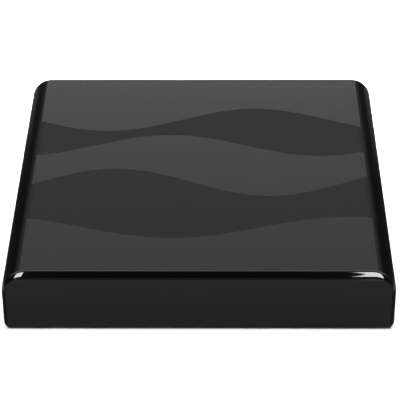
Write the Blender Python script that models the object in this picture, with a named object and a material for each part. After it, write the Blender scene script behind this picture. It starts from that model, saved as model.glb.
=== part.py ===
"""A slim square media player that takes a 2.5-inch hard drive on a tray in its right-hand side.

Metres, +Z up. X runs to the right and Y to the back as seen from the front; the origin is on the table,
under the middle of the case. The front window is at the low end of Y.
"""

import math

import bmesh
import bpy
from mathutils import Matrix, Vector

MM = 0.001

# Clearances and overlaps that the whole design shares
SEAT_GAP = 0.3 * MM  # between two pieces that sit on each other
SLIDE_GAP = 0.3 * MM  # round the tray where it runs
THREAD_GAP = 0.15 * MM  # round a screw in its hole
OVERRUN = 3 * MM  # how far a cutter passes the wall it cuts
SINK = 0.6 * MM  # how deep a rib or boss starts inside the wall that carries it
LEAST_RADIUS = 0.5 * MM
MERGE = 0.001 * MM

ROUND_STEPS = 16  # sides of a small round piece
EDGE_STEPS = 10  # facets in the case's large rounded edge
CORNER_STEPS = 3  # facets in a small rounded corner
FILLET_STEPS = 4

# Case shell
CASE_WIDTH = 180 * MM
CASE_DEPTH = 180 * MM
CASE_HEIGHT = 30 * MM
EDGE_RADIUS = 10.9 * MM  # the two long upper edges
END_FILLET = 3.3 * MM  # round the front and the rear end
SIDE_FILLET = 2 * MM  # the same rounding where it draws in the sides
HEEL_RADIUS = 1.8 * MM  # lower edges of the side walls
WALL = 2.4 * MM
RIM_CUT = 0.6 * MM  # how far the window's pocket cuts into the rounding at the top
RIM_SIDE_CUT = 0.4 * MM  # the same at the sides
POCKET_CORNER = 7 * MM  # upper corners of the pockets for the window and the rear panel
LEDGE_WIDTH = 2 * MM  # the inner flange that the window and the rear panel seat on
LEDGE_THICK = 1.5 * MM
RIB_DEPTH = 2 * MM
RIB_THICK = 1.2 * MM
RIB_LENGTH = 120 * MM
RIB_PITCH = 44 * MM
RIB_COUNT = 3

# Front window and rear panel
WINDOW_THICK = 2.5 * MM
PANEL_THICK = 1.6 * MM
PANEL_RECESS = 2 * MM
PANEL_SLOT_LENGTH = 9 * MM
PANEL_SLOT_HEIGHT = 1.6 * MM
PANEL_SLOT_PITCH = 12 * MM
PANEL_SLOT_DROP = 2.4 * MM  # from the ledge down to the slots
PANEL_SLOT_COUNT = 10

# Base plate and feet
FLOOR_THICK = 2 * MM
LIP_THICK = 1.5 * MM
LIP_STEP = 0.2 * MM  # the lips stand this far in from the plate's edge
LIP_HEIGHT = 4 * MM
FOOT_STAND = 1 * MM  # how far the feet stand out below the case
FOOT_SINK = 0.9 * MM  # depth of the pocket that a foot is glued in
FOOT_RADIUS = 6 * MM
FOOT_BEVEL = 0.4 * MM
FOOT_INSET = 22 * MM
VENT_WIDTH = 2 * MM
VENT_LENGTH = 24 * MM
VENT_PITCH = 4.6 * MM
VENT_COUNT = 6

# Case screws and the bosses that they draw together
BOSS_INSET = 10.5 * MM
BOSS_RADIUS = 3.5 * MM
BOSS_BORE_DEPTH = 9 * MM
PAD_RADIUS = 4.6 * MM
PAD_RISE = 2 * MM
PAD_CLEAR = 1.4 * MM
CASE_HEAD_RADIUS = 2.6 * MM
CASE_HEAD_HEIGHT = 1.5 * MM
CASE_HEAD_SINK = 0.3 * MM
CASE_SHANK_RADIUS = 1.25 * MM
CASE_SHANK_LENGTH = 9 * MM

# Hard drive, 2.5-inch pattern
DRIVE_LENGTH = 100.35 * MM
DRIVE_WIDTH = 69.85 * MM
DRIVE_HEIGHT = 9.5 * MM
DRIVE_CORNER = 2.2 * MM
DRIVE_LID_THICK = 0.6 * MM
DRIVE_LID_INSET = 1.2 * MM
DRIVE_HUB_RADIUS = 12.5 * MM
DRIVE_HUB_RISE = 0.3 * MM
DRIVE_HUB_BACK = 56 * MM  # hub centre from the plug end
DRIVE_RIVET_RADIUS = 1.9 * MM
DRIVE_RIVET_INSET = 3.6 * MM
DRIVE_BOARD_THICK = 1 * MM
DRIVE_BOARD_LENGTH = 46 * MM
DRIVE_BOARD_INSET = 3 * MM
DRIVE_BOARD_SINK = 0.2 * MM
DRIVE_HOLE_NEAR = 14 * MM  # first mounting holes from the plug end
DRIVE_HOLE_FAR = 9.75 * MM  # second ones from the other end
DRIVE_HOLE_INSET = 4.07 * MM  # from the long sides
PLUG_HEIGHT = 3.5 * MM  # plug centre above the underside of the drive
PLUG_OFFSET = -8 * MM
PLUG_WIDTH = 36 * MM
PLUG_BODY_HEIGHT = 4.4 * MM
PLUG_BODY_DEPTH = 2.5 * MM
PLUG_NOTCH_DEPTH = 7 * MM
PLUG_NOTCH_ROOM = 1.2 * MM  # headroom over the plug in the notch
BLADE_LENGTH = 4 * MM
BLADE_THICK = 1.2 * MM
DATA_BLADE_WIDTH = 10.4 * MM
POWER_BLADE_WIDTH = 19.6 * MM
BLADE_SPACE = 2.4 * MM

# Tray and the cage that it slides in
TRAY_WALL = 2 * MM
TRAY_FLOOR = 1.5 * MM
TRAY_SIDE = 7 * MM
TRAY_HEAD = 2 * MM
TRAY_HEAD_ROOM = 2.4 * MM  # between the tray's end wall and the drive
TRAY_WINDOW_SHARE = 0.34  # length of each window in the floor, as a share of the floor
TRAY_WINDOW_MARGIN = 7.8 * MM  # from the line of the mounting holes
TRAY_WINDOW_CORNER = 3 * MM
CAGE_SHEET = 1 * MM
CAGE_TAIL = 2 * MM  # the cage runs on past the inner end of the tray
CAGE_SHORT = 0.8 * MM  # the cage stops short of the bezel
CAGE_WINDOW_SHARE = 0.34
CAGE_WINDOW_MARGIN = 12 * MM  # from the cage's walls
EAR_LENGTH = 8 * MM
EAR_WIDTH = 9 * MM
EAR_RISE = 5 * MM
EAR_INSET = 25 * MM
DRIVE_SCREW_HEAD_RADIUS = 2.3 * MM
DRIVE_SCREW_HEAD_HEIGHT = 1.1 * MM
DRIVE_SCREW_SHANK_RADIUS = 1.3 * MM
DRIVE_SCREW_LENGTH = 4.2 * MM
DRIVE_SCREW_SINK = 0.2 * MM
CONE_GAP = 0.2 * MM

# Bezel on the tray, its pull lever and the pin that the lever turns on
BEZEL_THICK = 6 * MM
BEZEL_MARGIN = 1.8 * MM  # past the sides of the tray
BEZEL_DROP = 0.6 * MM  # below the tray
BEZEL_COVER = 1.6 * MM  # above the drive
BEZEL_CORNER = 1.6 * MM
BEZEL_GAP = 0.4 * MM
LEVER_LENGTH = 52 * MM
LEVER_THICK = 2.6 * MM
LEVER_HEIGHT = 8.4 * MM
LEVER_CORNER = 1 * MM
LEVER_GAP = 0.4 * MM
LEVER_OFFSET = -2 * MM  # the lever's middle from the middle of the bezel
LEVER_TIP_CUT = 0.8 * MM
FINGER_LENGTH = 12 * MM
FINGER_UNDER = 5 * MM  # how far the finger pocket reaches under the lever's tip
FINGER_FLOOR = 2.1 * MM
PIN_RADIUS = 0.8 * MM
PIN_GAP = 0.15 * MM
PIN_SEAT = 1.2 * MM
BEZEL_SCREW_INSET = 4 * MM
BEZEL_SCREW_HEAD_RADIUS = 1.8 * MM
BEZEL_SCREW_HEAD_HEIGHT = 1.2 * MM
BEZEL_SCREW_SHANK_RADIUS = 0.9 * MM
BEZEL_SCREW_LENGTH = 5.4 * MM
BEZEL_SCREW_DROP = 3 * MM  # screw axis above the floor of the tray

# Main board
BOARD_THICK = 1.6 * MM
BOARD_SIDE_CLEAR = 3.6 * MM
BOARD_EDGE_CLEAR = 0.5 * MM
BOARD_CLEAR = 2 * MM  # to the cage
POST_RADIUS = 3 * MM
POST_INSET = 6 * MM
SMALL_HEAD_RADIUS = 2.3 * MM
SMALL_HEAD_HEIGHT = 1.4 * MM
SMALL_SHANK_RADIUS = 1 * MM
SMALL_SHANK_LENGTH = 4.3 * MM
SMALL_BORE_ROOM = 0.5 * MM  # past the end of the shank
HOLE_GAP = 0.3 * MM
SOCKET_RISE = 3 * MM  # plug centre above the main board
SOCKET_SEAT = 8 * MM  # how far the socket reaches back over the board
SOCKET_NOSE_HEIGHT = 4.2 * MM
SOCKET_SIDE_GAP = 0.6 * MM
SLOT_ROOM = 0.5 * MM

# Parts on the main board
SINK_SIZE = 32 * MM
SINK_PLATE = 1.8 * MM
SINK_HEIGHT = 10 * MM
SINK_FIN = 1 * MM
SINK_FIN_COUNT = 9
SINK_MARGIN = 6 * MM
CHIP_SIZE = 23 * MM
CHIP_THICK = 1.5 * MM
MEMORY_LENGTH = 12 * MM
MEMORY_WIDTH = 9 * MM
MEMORY_THICK = 1.1 * MM
COIL_SIZE = 9 * MM
COIL_HEIGHT = 4.5 * MM
COIL_CORNER = 2 * MM
CAPACITOR_RADIUS = 3.2 * MM
CAPACITOR_HEIGHT = 8 * MM
CAPACITOR_GROOVE = 0.4 * MM
ROW_SPACE = 3 * MM
ROW_CLEAR = 3 * MM  # from the sockets to the row of parts

# Rear sockets: width along X, height, and depth into the case
PORT_GAP = 0.3 * MM
JACK_WIDTH = 8 * MM
JACK_HEIGHT = 7 * MM
JACK_DEPTH = 12 * MM
JACK_BORE_RADIUS = 1.8 * MM
JACK_BORE_DEPTH = 10 * MM
DATA_PORT_WIDTH = 13.1 * MM
DATA_PORT_HEIGHT = 5.9 * MM
DATA_PORT_DEPTH = 14 * MM
DATA_PORT_SHELL = 0.4 * MM
DATA_PORT_MOUTH_DEPTH = 9.5 * MM
DATA_PORT_TONGUE = 1.7 * MM
DATA_PORT_TONGUE_MARGIN = 0.7 * MM
DATA_PORT_TONGUE_BACK = 1.2 * MM
DISPLAY_WIDTH = 15 * MM
DISPLAY_HEIGHT = 6.2 * MM
DISPLAY_DEPTH = 11.9 * MM
DISPLAY_SHELL = 0.6 * MM
DISPLAY_MOUTH_DEPTH = 8.5 * MM
DISPLAY_TONGUE = 1.3 * MM
DISPLAY_TONGUE_MARGIN = 1.2 * MM
DISPLAY_CHAMFER = 1.6 * MM
NETWORK_WIDTH = 16 * MM
NETWORK_HEIGHT = 13.4 * MM
NETWORK_DEPTH = 21 * MM
NETWORK_MOUTH_WIDTH = 11.8 * MM
NETWORK_MOUTH_HEIGHT = 7 * MM
NETWORK_MOUTH_RISE = 3.4 * MM
NETWORK_MOUTH_DEPTH = 13 * MM
NETWORK_LATCH_WIDTH = 6 * MM
NETWORK_LATCH_DROP = 1.8 * MM
SWITCH_WIDTH = 13 * MM
SWITCH_HEIGHT = 9 * MM
SWITCH_DEPTH = 11 * MM
ROCKER_LENGTH = 9 * MM
ROCKER_HEIGHT = 6 * MM
ROCKER_END_GAP = 0.9 * MM
ROCKER_SIDE_GAP = 0.3 * MM
ROCKER_PIVOT_DEPTH = 3 * MM
ROCKER_END_DEPTH = 1.2 * MM
ROCKER_NECK = 2.4 * MM
ROCKER_TILT_DEGREES = 7
ROCKER_PIN_RADIUS = 0.8 * MM
ROCKER_PIN_REACH = 0.6 * MM
ROCKER_PIN_GAP = 0.2 * MM
SWITCH_POCKET_DEPTH = 6.6 * MM
DC_WIDTH = 9 * MM
DC_HEIGHT = 11 * MM
DC_DEPTH = 13.5 * MM
DC_BORE_RADIUS = 3 * MM
DC_BORE_DEPTH = 9.5 * MM
DC_PIN_RADIUS = 1 * MM
DC_PIN_SHORT = 1 * MM

# Infrared board behind the window, and its ribbon
SENSOR_BOARD_HEIGHT = 14 * MM
SENSOR_BOARD_THICK = 1.2 * MM
SENSOR_ROOM = 4.6 * MM  # from the window to the board
CLIP_WALL = 1.3 * MM
CLIP_HEIGHT = 8 * MM
CLIP_HOLD = 1.5 * MM
RECEIVER_WIDTH = 6 * MM
RECEIVER_HEIGHT = 7 * MM
RECEIVER_DEPTH = 2.2 * MM
RECEIVER_LENS_RADIUS = 2 * MM
LAMP_RADIUS = 1.5 * MM
LAMP_DEPTH = 3.6 * MM
LAMP_SHARE = 0.2  # lamp and receiver from the board's middle, as a share of its width
RIBBON_WIDTH = 8 * MM
RIBBON_THICK = 0.4 * MM
RIBBON_RISE = 6 * MM  # ribbon's start above the main board
RIBBON_BULGE = 3 * MM
RIBBON_STEPS = 10
RIBBON_SOCKET_WIDTH = 10.4 * MM
RIBBON_SOCKET_DEPTH = 4 * MM
RIBBON_SOCKET_HEIGHT = 2.6 * MM
RIBBON_SOCKET_INSET = 4 * MM

# Places that follow from those sizes, along Y, Z and X
FRONT = -CASE_DEPTH / 2
BACK = CASE_DEPTH / 2
RIGHT = CASE_WIDTH / 2
RIM = END_FILLET - RIM_CUT
SIDE_RIM = SIDE_FILLET - RIM_SIDE_CUT
WINDOW_BACK = FRONT + WINDOW_THICK
FRONT_POCKET = WINDOW_BACK + SEAT_GAP
FRONT_CAVITY = FRONT_POCKET + LEDGE_THICK
PANEL_FACE = BACK - PANEL_RECESS
PANEL_INNER = PANEL_FACE - PANEL_THICK
REAR_POCKET = PANEL_INNER - SEAT_GAP
REAR_CAVITY = REAR_POCKET - LEDGE_THICK
CAVITY_HALF = CASE_WIDTH / 2 - WALL

CASE_BOTTOM = FOOT_STAND
CASE_TOP = CASE_BOTTOM + CASE_HEIGHT
CEILING = CASE_TOP - WALL
FLOOR_TOP = CASE_BOTTOM + FLOOR_THICK
PAD_TOP = FLOOR_TOP + PAD_RISE
CAGE_Z = FLOOR_TOP + SEAT_GAP
TRAY_Z = CAGE_Z + CAGE_SHEET + SLIDE_GAP
TRAY_FLOOR_TOP = TRAY_Z + TRAY_FLOOR
TRAY_SIDE_TOP = TRAY_Z + TRAY_SIDE
DRIVE_Z = TRAY_FLOOR_TOP + SEAT_GAP
DRIVE_TOP = DRIVE_Z + DRIVE_HEIGHT
PLUG_Z = DRIVE_Z + PLUG_HEIGHT
CAGE_TOP = TRAY_SIDE_TOP + SLIDE_GAP + CAGE_SHEET
EAR_Z = CAGE_Z + EAR_RISE
EAR_SEAT = EAR_Z + CAGE_SHEET + SEAT_GAP  # under the heads of the cage screws
BEZEL_LOW = TRAY_Z - BEZEL_DROP
BEZEL_HIGH = DRIVE_TOP + BEZEL_COVER
BEZEL_MID_Z = (BEZEL_LOW + BEZEL_HIGH) / 2
BOARD_TOP = PLUG_Z - SOCKET_RISE
BOARD_Z = BOARD_TOP - BOARD_THICK
PART_Z = BOARD_TOP + SEAT_GAP

BEZEL_BACK = RIGHT - BEZEL_THICK
TRAY_X1 = BEZEL_BACK - SEAT_GAP
DRIVE_X1 = TRAY_X1 - TRAY_HEAD - TRAY_HEAD_ROOM
DRIVE_X0 = DRIVE_X1 - DRIVE_LENGTH
TRAY_X0 = DRIVE_X0
CAGE_X0 = TRAY_X0 - CAGE_TAIL
CAGE_X1 = BEZEL_BACK - CAGE_SHORT
TRAY_WIDTH = DRIVE_WIDTH + 2 * (SEAT_GAP + TRAY_WALL)
CAGE_HALF = TRAY_WIDTH / 2 + SLIDE_GAP + CAGE_SHEET
CAGE_Y0 = FRONT + BOSS_INSET + PAD_RADIUS + PAD_CLEAR
BAY_Y = CAGE_Y0 + CAGE_HALF
CAGE_Y1 = BAY_Y + CAGE_HALF
EAR_XS = (CAGE_X0 + EAR_INSET, CAGE_X1 - EAR_INSET)
EAR_YS = (CAGE_Y0 - EAR_LENGTH / 2, CAGE_Y1 + EAR_LENGTH / 2)
BEZEL_HALF = TRAY_WIDTH / 2 + BEZEL_MARGIN
PLUG_Y = BAY_Y + PLUG_OFFSET

BOARD_X0 = -CAVITY_HALF + BOARD_SIDE_CLEAR
BOARD_X1 = CAVITY_HALF - BOARD_SIDE_CLEAR
BOARD_Y0 = CAGE_Y0
BOARD_Y1 = PANEL_INNER - BOARD_EDGE_CLEAR
ARM_X1 = CAGE_X0 - BOARD_CLEAR
ARM_Y0 = CAGE_Y1 + EAR_LENGTH + BOARD_CLEAR
BOSS_KEEP = BOSS_INSET + BOSS_RADIUS + PAD_CLEAR
PORT_DEPTHS = (JACK_DEPTH, DATA_PORT_DEPTH, DISPLAY_DEPTH, NETWORK_DEPTH, SWITCH_DEPTH, DC_DEPTH)
PORT_FRONT = PANEL_FACE - max(PORT_DEPTHS)
ROW_Y1 = PORT_FRONT - ROW_CLEAR
SINK_X = BOARD_X0 + SINK_MARGIN + SINK_SIZE / 2
SINK_Y = ROW_Y1 - SINK_SIZE / 2
POST_TOP = BOARD_Z - SEAT_GAP
POST_PLACES = (
    (BOARD_X0 + POST_INSET, BOARD_Y0 + POST_INSET),
    (BOARD_X0 + POST_INSET, SINK_Y - SINK_SIZE / 2 - POST_INSET),
    (BOARD_X1 - POST_INSET, ARM_Y0 + POST_INSET),
)
SENSOR_BOARD_X0 = BOSS_INSET + PAD_RADIUS + PAD_CLEAR + CLIP_WALL + SEAT_GAP - RIGHT
SENSOR_BOARD_X1 = ARM_X1 - CLIP_WALL - SEAT_GAP
SENSOR_BOARD_X = (SENSOR_BOARD_X0 + SENSOR_BOARD_X1) / 2
SENSOR_BOARD_Y = WINDOW_BACK + SENSOR_ROOM
SENSOR_Z = FLOOR_TOP + SEAT_GAP

# Finishes: colour, roughness, metallic
FINISHES = {
    "gloss_black": ((0.012, 0.012, 0.013), 0.08, 0.0),
    "smoked_window": ((0.02, 0.02, 0.021), 0.06, 0.0),
    "satin_black": ((0.022, 0.022, 0.023), 0.45, 0.0),
    "rubber": ((0.015, 0.015, 0.015), 0.85, 0.0),
    "zinc_steel": ((0.55, 0.56, 0.57), 0.35, 1.0),
    "cast_aluminium": ((0.5, 0.5, 0.51), 0.5, 1.0),
    "polished_steel": ((0.72, 0.72, 0.73), 0.22, 1.0),
    "black_screw": ((0.05, 0.05, 0.052), 0.4, 1.0),
    "green_board": ((0.02, 0.12, 0.05), 0.4, 0.0),
    "black_plastic": ((0.03, 0.03, 0.032), 0.5, 0.0),
    "ribbon_white": ((0.75, 0.75, 0.72), 0.4, 0.0),
    "lamp_lens": ((0.1, 0.2, 0.7), 0.2, 0.0),
}

materials = {}


def material_for(finish):
    """The named finish as a Principled material, made once."""
    if finish not in materials:
        colour, roughness, metallic = FINISHES[finish]
        made = bpy.data.materials.new(finish)
        made.use_nodes = True
        shader = made.node_tree.nodes["Principled BSDF"]
        shader.inputs["Base Color"].default_value = (*colour, 1.0)
        shader.inputs["Roughness"].default_value = roughness
        shader.inputs["Metallic"].default_value = metallic
        made.diffuse_color = (*colour, 1.0)
        materials[finish] = made
    return materials[finish]


def clear_scene():
    for obj in list(bpy.data.objects):
        bpy.data.objects.remove(obj)


def to_object(bm, name):
    """An object in the scene that holds this bmesh."""
    bmesh.ops.recalc_face_normals(bm, faces=bm.faces)
    if bm.calc_volume(signed=True) < 0:
        bmesh.ops.reverse_faces(bm, faces=bm.faces)
    mesh = bpy.data.meshes.new(name)
    bm.to_mesh(mesh)
    bm.free()
    obj = bpy.data.objects.new(name, mesh)
    bpy.context.scene.collection.objects.link(obj)
    return obj


def prism(outline, axis, start, end, name="piece"):
    """A flat outline pushed along an axis. The outline is in (y, z), (x, z) or (x, y), for X, Y and Z."""
    order = {"X": (2, 0, 1), "Y": (0, 2, 1), "Z": (0, 1, 2)}[axis]
    bm = bmesh.new()
    low = [bm.verts.new([(u, v, start)[i] for i in order]) for u, v in outline]
    face = bm.faces.new(low)
    pushed = bmesh.ops.extrude_face_region(bm, geom=[face])["geom"]
    shift = Vector([(0, 0, end - start)[i] for i in order])
    bmesh.ops.translate(bm, vec=shift, verts=[v for v in pushed if isinstance(v, bmesh.types.BMVert)])
    return to_object(bm, name)


def arc_corner(before, corner, after, radius, steps):
    """Points that round a right-angled corner off."""
    point = Vector(corner)
    to_before = (Vector(before) - point).normalized()
    to_after = (Vector(after) - point).normalized()
    centre = point + radius * (to_before + to_after)
    turns = [math.pi / 2 * i / steps for i in range(steps + 1)]
    return [tuple(centre - radius * (to_after * math.cos(t) + to_before * math.sin(t))) for t in turns]


def rounded(corners):
    """An outline whose corners are (u, v), or (u, v, radius, steps) for a right angle that is rounded."""
    outline = []
    count = len(corners)
    for i, corner in enumerate(corners):
        if len(corner) == 2:
            outline.append(corner)
            continue
        before = corners[i - 1][:2]
        after = corners[(i + 1) % count][:2]
        outline += arc_corner(before, corner[:2], after, corner[2], corner[3])
    return [point for i, point in enumerate(outline) if math.dist(point, outline[i - 1]) > MERGE]


def rectangle(u0, u1, v0, v1, radius=0, steps=CORNER_STEPS):
    ends = (radius, steps) if radius else ()
    return rounded([(u1, v0, *ends), (u1, v1, *ends), (u0, v1, *ends), (u0, v0, *ends)])


def box(x0, x1, y0, y1, z0, z1, name="piece"):
    return prism(rectangle(x0, x1, y0, y1), "Z", z0, z1, name)


def turned(profile, axis, place, steps=ROUND_STEPS, name="piece"):
    """A profile of (radius, height) points spun round an axis, with a flat face at either end."""
    bm = bmesh.new()
    points = [bm.verts.new((radius, 0, height)) for radius, height in profile]
    edges = [bm.edges.new(pair) for pair in zip(points, points[1:])]
    bmesh.ops.spin(
        bm,
        geom=points + edges,
        cent=(0, 0, 0),
        axis=(0, 0, 1),
        angle=2 * math.pi,
        steps=steps,
        use_merge=True,
        use_duplicate=False,
    )
    bmesh.ops.remove_doubles(bm, verts=bm.verts, dist=MERGE)
    middles = [v for v in bm.verts if math.hypot(v.co.x, v.co.y) < MERGE]
    bmesh.ops.dissolve_verts(bm, verts=middles)
    turn = {
        "Z": Matrix.Identity(4),
        "X": Matrix.Rotation(math.pi / 2, 4, "Y"),
        "Y": Matrix.Rotation(-math.pi / 2, 4, "X"),
    }[axis]
    bm.transform(Matrix.Translation(place) @ turn)
    return to_object(bm, name)


def cylinder(place, radius, height, axis="Z", steps=ROUND_STEPS, name="piece"):
    """A plain round bar that starts at place and runs along the axis."""
    profile = [(0, height), (radius, height), (radius, 0), (0, 0)]
    return turned(profile, axis, place, steps, name)


def loft(rings, name):
    """A solid through closed rings of points, all with as many points, capped at both ends."""
    bm = bmesh.new()
    loops = [[bm.verts.new(point) for point in ring] for ring in rings]
    for first, second in zip(loops, loops[1:]):
        for i in range(len(first)):
            bm.faces.new((first[i - 1], first[i], second[i], second[i - 1]))
    bm.faces.new(loops[0])
    bm.faces.new(loops[-1])
    return to_object(bm, name)


def combine(target, tools, operation):
    """Joins tools to target or cuts them out of it, and drops the tools."""
    for tool in tools:
        modifier = target.modifiers.new(operation, "BOOLEAN")
        modifier.operation = operation
        modifier.solver = "EXACT"
        modifier.object = tool
    bpy.context.view_layer.update()
    graph = bpy.context.evaluated_depsgraph_get()
    mesh = bpy.data.meshes.new_from_object(target.evaluated_get(graph))
    target.modifiers.clear()
    target.data = mesh
    for tool in tools:
        bpy.data.objects.remove(tool)
    return target


def cut(target, *tools):
    return combine(target, tools, "DIFFERENCE")


def fuse(target, *tools):
    return combine(target, tools, "UNION")


def finish(obj, name, look, smooth=False):
    """Names a sub-part, gives it its finish and shades its round faces."""
    obj.name = name
    obj.data.name = name
    obj.data.materials.clear()
    obj.data.materials.append(material_for(look))
    if smooth:
        obj.data.shade_smooth()
        obj.data.set_sharp_from_angle(angle=math.radians(SMOOTH_DEGREES))
    return obj


SMOOTH_DEGREES = 40


def empty_at(name, place):
    empty = bpy.data.objects.new(name, None)
    empty.location = place
    bpy.context.scene.collection.objects.link(empty)
    bpy.context.view_layer.update()
    return empty


def hang_on(carrier, *pieces):
    """Parents pieces to an empty without moving them."""
    for piece in pieces:
        piece.parent = carrier
        piece.matrix_parent_inverse = carrier.matrix_world.inverted()


def pan_profile(head_radius, head_height, shank_radius, length):
    """Half section of a round-headed screw that points down, its seat at height 0."""
    return [
        (0, head_height),
        (head_radius * CROWN_SHARE, head_height),
        (head_radius, head_height * SHOULDER_SHARE),
        (head_radius, 0),
        (shank_radius, 0),
        (shank_radius, -length),
        (0, -length),
    ]


CROWN_SHARE = 0.6
SHOULDER_SHARE = 0.6


def corner_places(inset):
    """The four places at one distance in from the case's corners, with their names."""
    x = CASE_WIDTH / 2 - inset
    y = CASE_DEPTH / 2 - inset
    return {
        "front_left": (-x, -y),
        "front_right": (x, -y),
        "rear_left": (-x, y),
        "rear_right": (x, y),
    }


def case_outline(side, drop, crown, bottom, heel):
    """The case's section seen from the front, drawn in at the sides and dropped at the top."""
    half = CASE_WIDTH / 2 - side
    top = CASE_TOP - drop
    crown = max(crown, LEAST_RADIUS)
    foot = (heel, CORNER_STEPS) if heel else ()
    return rounded(
        [
            (half, bottom, *foot),
            (half, top, crown, EDGE_STEPS),
            (-half, top, crown, EDGE_STEPS),
            (-half, bottom, *foot),
        ]
    )


def rounding_outline(part):
    """The outer section where the end rounding has drawn in by this part of its radius."""
    crown = EDGE_RADIUS - (EDGE_RADIUS - POCKET_CORNER) * part * END_FILLET / RIM
    return case_outline(SIDE_FILLET * part, END_FILLET * part, crown, CASE_BOTTOM, HEEL_RADIUS)


def plate_outline():
    """The outline of the window and of the rear panel."""
    return case_outline(SIDE_RIM + SEAT_GAP, RIM + SEAT_GAP, POCKET_CORNER - SEAT_GAP, CASE_BOTTOM, 0)


def bezel_outline(grow):
    """The bezel's outline in the right-hand wall, in (y, z)."""
    half = BEZEL_HALF + grow
    return rectangle(BAY_Y - half, BAY_Y + half, BEZEL_LOW - grow, BEZEL_HIGH + grow, BEZEL_CORNER + grow)


def build_cover():
    """The moulded shell: roof, side walls, rounded ends, inner ledges and screw bosses."""
    turns = [math.pi / 2 * i / FILLET_STEPS for i in range(FILLET_STEPS + 1)]
    sections = [(FRONT + END_FILLET * (1 - math.cos(t)), 1 - math.sin(t)) for t in turns]
    sections += [(-y, part) for y, part in reversed(sections)]
    rings = [[(x, y, z) for x, z in rounding_outline(part)] for y, part in sections]
    cover = loft(rings, "top_cover")
    below = CASE_BOTTOM - OVERRUN
    ledge = POCKET_CORNER - LEDGE_WIDTH
    inner = case_outline(SIDE_RIM + LEDGE_WIDTH, RIM + LEDGE_WIDTH, ledge, below, 0)
    cut(cover, prism(inner, "Y", FRONT - OVERRUN, BACK + OVERRUN))
    cavity = case_outline(WALL, WALL, EDGE_RADIUS - WALL, below, 0)
    cut(cover, prism(cavity, "Y", FRONT_CAVITY, REAR_CAVITY))
    pocket = case_outline(SIDE_RIM, RIM, POCKET_CORNER, below, 0)
    cut(cover, prism(pocket, "Y", FRONT - OVERRUN, FRONT_POCKET))
    cut(cover, prism(pocket, "Y", REAR_POCKET, BACK + OVERRUN))
    cut(cover, prism(bezel_outline(BEZEL_GAP), "X", CAVITY_HALF - OVERRUN, RIGHT + OVERRUN))
    boss_low = PAD_TOP + SEAT_GAP
    bore = CASE_SHANK_RADIUS + THREAD_GAP
    for x, y in corner_places(BOSS_INSET).values():
        fuse(cover, cylinder((x, y, boss_low), BOSS_RADIUS, CEILING + SINK - boss_low))
        cut(cover, cylinder((x, y, boss_low - OVERRUN), bore, OVERRUN + BOSS_BORE_DEPTH))
    for i in range(RIB_COUNT):
        y = RIB_PITCH * (i - (RIB_COUNT - 1) / 2)
        half = RIB_THICK / 2
        rib = box(-RIB_LENGTH / 2, RIB_LENGTH / 2, y - half, y + half, CEILING - RIB_DEPTH, CEILING + SINK)
        fuse(cover, rib)
    finish(cover, "top_cover", "gloss_black", smooth=True)


def build_window():
    """The smoked plate that closes the front."""
    plate = prism(plate_outline(), "Y", FRONT, WINDOW_BACK)
    finish(plate, "front_window", "smoked_window", smooth=True)


def ports():
    """The rear sockets from left to right as (name, width, height), and the middle of each along X."""
    row = [
        ("dc_jack", DC_WIDTH, DC_HEIGHT),
        ("switch_housing", SWITCH_WIDTH, SWITCH_HEIGHT),
        ("network_socket", NETWORK_WIDTH, NETWORK_HEIGHT),
        ("display_socket", DISPLAY_WIDTH, DISPLAY_HEIGHT),
        ("data_socket_left", DATA_PORT_WIDTH, DATA_PORT_HEIGHT),
        ("data_socket_right", DATA_PORT_WIDTH, DATA_PORT_HEIGHT),
        ("audio_jack", JACK_WIDTH, JACK_HEIGHT),
        ("video_jack", JACK_WIDTH, JACK_HEIGHT),
    ]
    room = CASE_WIDTH - 2 * BOSS_KEEP
    space = (room - sum(width for _, width, _ in row)) / (len(row) + 1)
    x = -room / 2 + space
    placed = {}
    for name, width, height in row:
        placed[name] = (x + width / 2, width, height)
        x += width + space
    return placed


def build_rear_panel():
    """The plate at the back, with its socket cut-outs and a row of vents over them."""
    panel = prism(plate_outline(), "Y", PANEL_INNER, PANEL_FACE)
    through = (PANEL_INNER - OVERRUN, PANEL_FACE + OVERRUN)
    for x, width, height in ports().values():
        half = width / 2 + PORT_GAP
        hole = rectangle(x - half, x + half, PART_Z - PORT_GAP, PART_Z + height + PORT_GAP)
        cut(panel, prism(hole, "Y", *through))
    top = CASE_TOP - RIM - LEDGE_WIDTH - PANEL_SLOT_DROP + PANEL_SLOT_HEIGHT
    for i in range(PANEL_SLOT_COUNT):
        x = PANEL_SLOT_PITCH * (i - (PANEL_SLOT_COUNT - 1) / 2)
        half = PANEL_SLOT_LENGTH / 2
        slot = rectangle(x - half, x + half, top - PANEL_SLOT_HEIGHT, top, PANEL_SLOT_HEIGHT / 2)
        cut(panel, prism(slot, "Y", *through))
    finish(panel, "rear_panel", "satin_black")


def vent_field(x, y):
    """Cutters for a row of slots through the floor, round the given middle."""
    cutters = []
    for i in range(VENT_COUNT):
        middle = x + VENT_PITCH * (i - (VENT_COUNT - 1) / 2)
        slot = rectangle(
            middle - VENT_WIDTH / 2,
            middle + VENT_WIDTH / 2,
            y - VENT_LENGTH / 2,
            y + VENT_LENGTH / 2,
            VENT_WIDTH / 2,
        )
        cutters.append(prism(slot, "Z", CASE_BOTTOM - OVERRUN, FLOOR_TOP + OVERRUN))
    return cutters


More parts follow.
